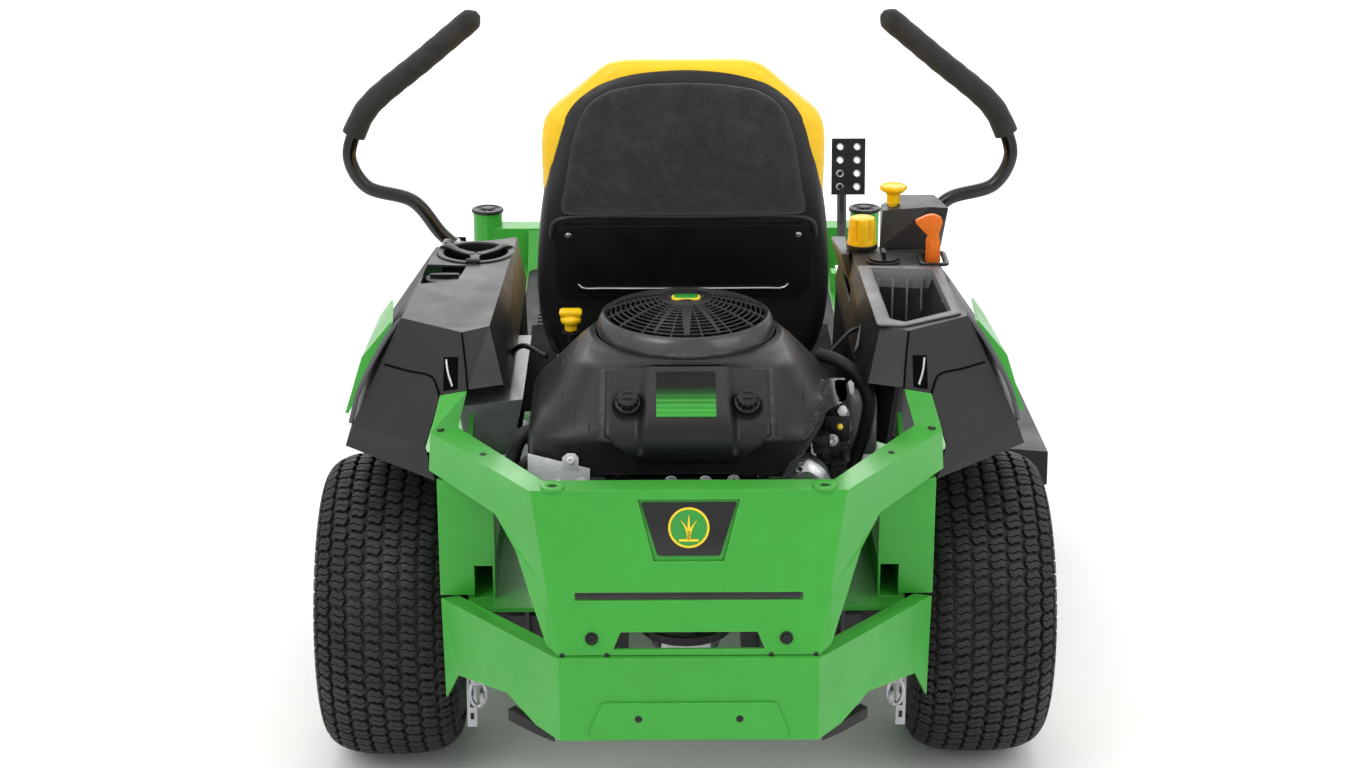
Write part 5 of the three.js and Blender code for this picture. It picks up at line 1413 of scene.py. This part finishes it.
def dashboard():
    shape = Shape()
    bezel = rounded([(366, 218), (412, 218), (412, 290), (366, 290)], 12, 5)
    hole = rounded([(374.5, 225), (403.5, 225), (403.5, 283), (374.5, 283)], 6, 5)
    flat_ring(shape, bezel, hole, 689.5, 694.5)
    shape.lathe([(24.5, 690.4), (24.5, 697), (22.5, 699), (9.5, 699), (9.5, 690.4)], 48, 0,
                facing((284, 320, 0), (0, 0, 1)), loop=True)
    shape.lathe([(27, 690.4), (26.4, 692.6), (23.8, 693.4), (23.4, 690.4)], 56, 0, facing((312, 250, 0), (0, 0, 1)),
                loop=True)
    piece("dash_bezels", shape, ("cover", "dark"), "chassis", bevel=1.2)
    shape = Shape()
    wedge = [(250, 300), (262, 300), (262, 398), (240, 398)]
    shape.rings([[(x + lean, y, z) for x, y in wedge] for lean, z in ((26, 600), (10, 650), (0, 684), (2, 687))])
    piece("inner_wedge", shape, "rim", "chassis", bevel=2.0)
    shape = Shape()
    rings = []
    for r, h in ((23, 696), (23.4, 698), (22.6, 703), (22.2, 706), (21.2, 728), (20.6, 736), (19, 739.5), (15, 741),
                 (2, 741.5)):
        dip = 0.15 if 704 < h < 737 else 0.0
        rings.append([(284 + r * (1 - dip * max(0.0, math.cos(6 * a)) ** 6) * math.cos(a),
                       320 + r * (1 - dip * max(0.0, math.cos(6 * a)) ** 6) * math.sin(a), h)
                      for a in (2 * math.pi * k / 144 for k in range(144))])
    shape.rings(rings)
    piece("height_dial", shape, "yellow", "height_knob", ["height_knob"], bevel=0.0)
    shape = Shape()
    low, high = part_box("pto_knob")
    foot, top = (low - AXLE).z / MM, (high - AXLE).z / MM
    rings = []
    for r, h in ((10.5, top - 30), (10.2, top - 22), (11, top - 14), (17, top - 11), (20.5, top - 7), (21, top - 4),
                 (19.5, top - 1.2), (16, top - 0.4), (14.5, top - 1.8), (2, top - 2.2)):
        scallop = 0.05 if r > 16.5 else 0.0
        rings.append([(336 + r * (1 + scallop * math.cos(8 * a)) * math.cos(a),
                       366 + r * (1 + scallop * math.cos(8 * a)) * math.sin(a), h)
                      for a in (2 * math.pi * k / 96 for k in range(96))])
    shape.rings(rings)
    shape.tube([(336, 366, max(foot, top - 75)), (336, 366, top - 29)], 7.5, 20)
    piece("blade_switch", shape, "yellow", "pto_knob", ["pto_knob"])
    shape = Shape()
    paddle = [(-12.5, 0), (12.5, 0), (11, 38), (8, 44), (13, 60), (14.5, 68), (11, 73), (0, 77.5), (-12, 76), (-30, 68),
              (-31, 64), (-8, 42), (-12, 38)]
    upright = facing((389, 254, 686), (0, -1, 0), (1, 0, 0))
    shape.slab([(x * 0.92, z) for x, z in rounded(paddle, 4, 3)], -5.5, 5.5, 0, upright)
    shape.slab([(-9, 6), (9, 6), (7, 36), (-7, 36)], 5, 6.6, 0, upright)
    piece("throttle_paddle", shape, "orange", "throttle", ["throttle_lever"], bevel=2.0, segments=3)
    shape = Shape()
    panel = [(252.5, 24, 618), (252.5, -66, 690), (252.5, -40, 648), (252.5, 60, 600)]
    shape.rings([panel, [(x - 0.8, y, z) for x, y, z in panel]])
    piece("blank_label", shape, "white", "chassis", bevel=0.2)


for side, sign in SIDES:
    console_details(side, sign)
cup_holder()
fuel_cap()
storage_bin()
dashboard()


# ---------------------------------------------------------------- front of the machine and floor

def pedal_and_caps():
    shape = Shape()
    slope = Vector((0, 17, 106)).normalized()
    out = Vector((0, -slope.z, slope.y))
    for k in range(4):
        for x in (310, 342):
            z = 568 + 25 * k
            spot = (x, 1146 + (z - 553) * 17 / 106 - 0.5, z)
            shape.lathe([(4.6, -2), (4.6, 2.2), (5.8, 3.0), (7.2, 2.0), (8.0, 0)], 24, 0, facing(spot, out), loop=True)
    piece("pedal_dimples", shape, "brushed", "lift_pedal")
    shape = Shape()
    for side, sign in SIDES:
        axis = facing((sign * 364, 1214, 0), (0, 0, 1))
        shape.lathe([(27, 503.2), (30.5, 503.6), (31, 507), (29.5, 509.5), (24, 510.5), (22, 508.5), (12, 508),
                     (10.5, 511.5), (4, 512.5), (1, 512.5)], 48, 0, axis)
        for k in range(6):
            a = math.pi * k / 3
            shape.box((-1.2, 12, 507.6), (1.2, 22, 509.6), 0, axis @ Matrix.Rotation(a, 4, "Z"))
    piece("post_caps", shape, "dark", "chassis", bevel=0.3)
    shape = Shape()
    mat = rounded([(-281, 562), (281, 562), (281, 1126), (-281, 1126)], 20, 5)
    shape.rings([[(x * s, 868 + (y - 868) * s, z) for x, y in mat] for s, z in ((1, 410.4), (1, 413.6), (0.985, 415))])
    for k in range(26):
        y = 590 + 20.5 * k
        shape.tube([(-252, y, 415.2), (-14, y, 415.2)], 2.6, 6, 0)
        shape.tube([(14, y, 415.2), (252, y, 415.2)], 2.6, 6, 0)
    piece("foot_mat", shape, "mat", "chassis", bevel=0.5)


def under_seat():
    """Springs under the seat, and bolts on the front of the frame."""
    shape = Shape()
    for sign in (-1, 1):
        coil = [(sign * 150 + 19 * math.cos(a), 216 + 19 * math.sin(a), 497 + a * 1.2)
                for a in (2 * math.pi * k / 20 for k in range(101))]
        shape.tube(coil, 2.4, 8)
        for x in (300, 330):
            shape.bolt((sign * x, 1239.5, 438), (0, 1, 0), 9, 7)
        for y in (660, 760, 1040):
            shape.bolt((sign * 306.5, y, 376), (sign, 0, 0), 9, 7)
    piece("springs_and_bolts", shape, "steel", "chassis")


def inner_shade_panels():
    """Inner panels between the consoles and the frame, and a shelf round the seat's support, all in near-black painted
    shade.
    """
    shape = Shape()
    for sign, rear in ((-1, 178), (1, 2)):
        wall = [(rear, 602), (rear, 408), (534, 408), (450, 602)]
        shape.slab(wall, 0, 3, 0, facing((sign * 256 - 1.5, 0, 0), (1, 0, 0), (0, 1, 0)))
        shape.box((sign * 222 - 30, rear, 470), (sign * 222 + 30, 600, 473))
    shape.box((-190, 20, 470), (190, 136, 473))
    shape.box((-190, 18, 408), (190, 21, 472))
    for x in (-150, -75, 0, 75, 150):
        shape.box((x - 3, 15, 410), (x + 3, 18.5, 470))
    piece("inner_shade_panels", shape, "void", "chassis", bevel=0.8)


pedal_and_caps()
under_seat()
inner_shade_panels()


# ---------------------------------------------------------------- floor, light and camera

def studio():
    floor = Shape()
    floor.slab([(-20000, -20000), (20000, -20000), (20000, 20000), (-20000, 20000)], -20, -0.5)
    obj = mesh_object("studio_floor", floor, ())
    f = Finish("studio_floor", (0.94, 0.94, 0.94), 0.6)
    f.tone(2, 0.99, 1.01)
    obj.data.materials.append(f.done())
    world = bpy.data.worlds.new("studio")
    world.use_nodes = True
    bpy.context.scene.world = world
    tree = world.node_tree
    back = tree.nodes["Background"]
    back.inputs["Color"].default_value = (1, 1, 1, 1)
    back.inputs["Strength"].default_value = 0.8
    for name, spot, size, power, spread in (
            ("key", (-2300, -2300, 3300), 2.2, 34, 150), ("fill", (2600, -1900, 2400), 2.4, 18, 150),
            ("top", (0, 400, 3600), 3.2, 16, 160), ("rear_rim", (0, 3600, 2600), 2.6, 22, 150)):
        light = bpy.data.lights.new(name, "AREA")
        light.size = size
        light.energy = power
        light.spread = math.radians(spread)
        holder = bpy.data.objects.new(name, light)
        bpy.context.scene.collection.objects.link(holder)
        holder.location = place(spot)
        aim = place((0, 200, 400)) - holder.location
        holder.rotation_euler = aim.to_track_quat("-Z", "Y").to_euler()
    far = bpy.data.lights.new("far_floor", "AREA")
    far.size, far.energy = 9.0, 420
    holder = bpy.data.objects.new("far_floor", far)
    bpy.context.scene.collection.objects.link(holder)
    holder.location = place((0, 8600, 3600))
    camera = bpy.data.cameras.new("camera")
    camera.sensor_width = 36
    camera.lens = 67.2
    camera.clip_end = 60
    holder = bpy.data.objects.new("camera", camera)
    bpy.context.scene.collection.objects.link(holder)
    holder.location = place((-45.3, -3540, 1823))
    holder.rotation_euler = (math.radians(90 - 19.4), 0, math.radians(-0.69))
    bpy.context.scene.camera = holder
    bpy.context.scene.view_settings.view_transform = "Standard"


studio()
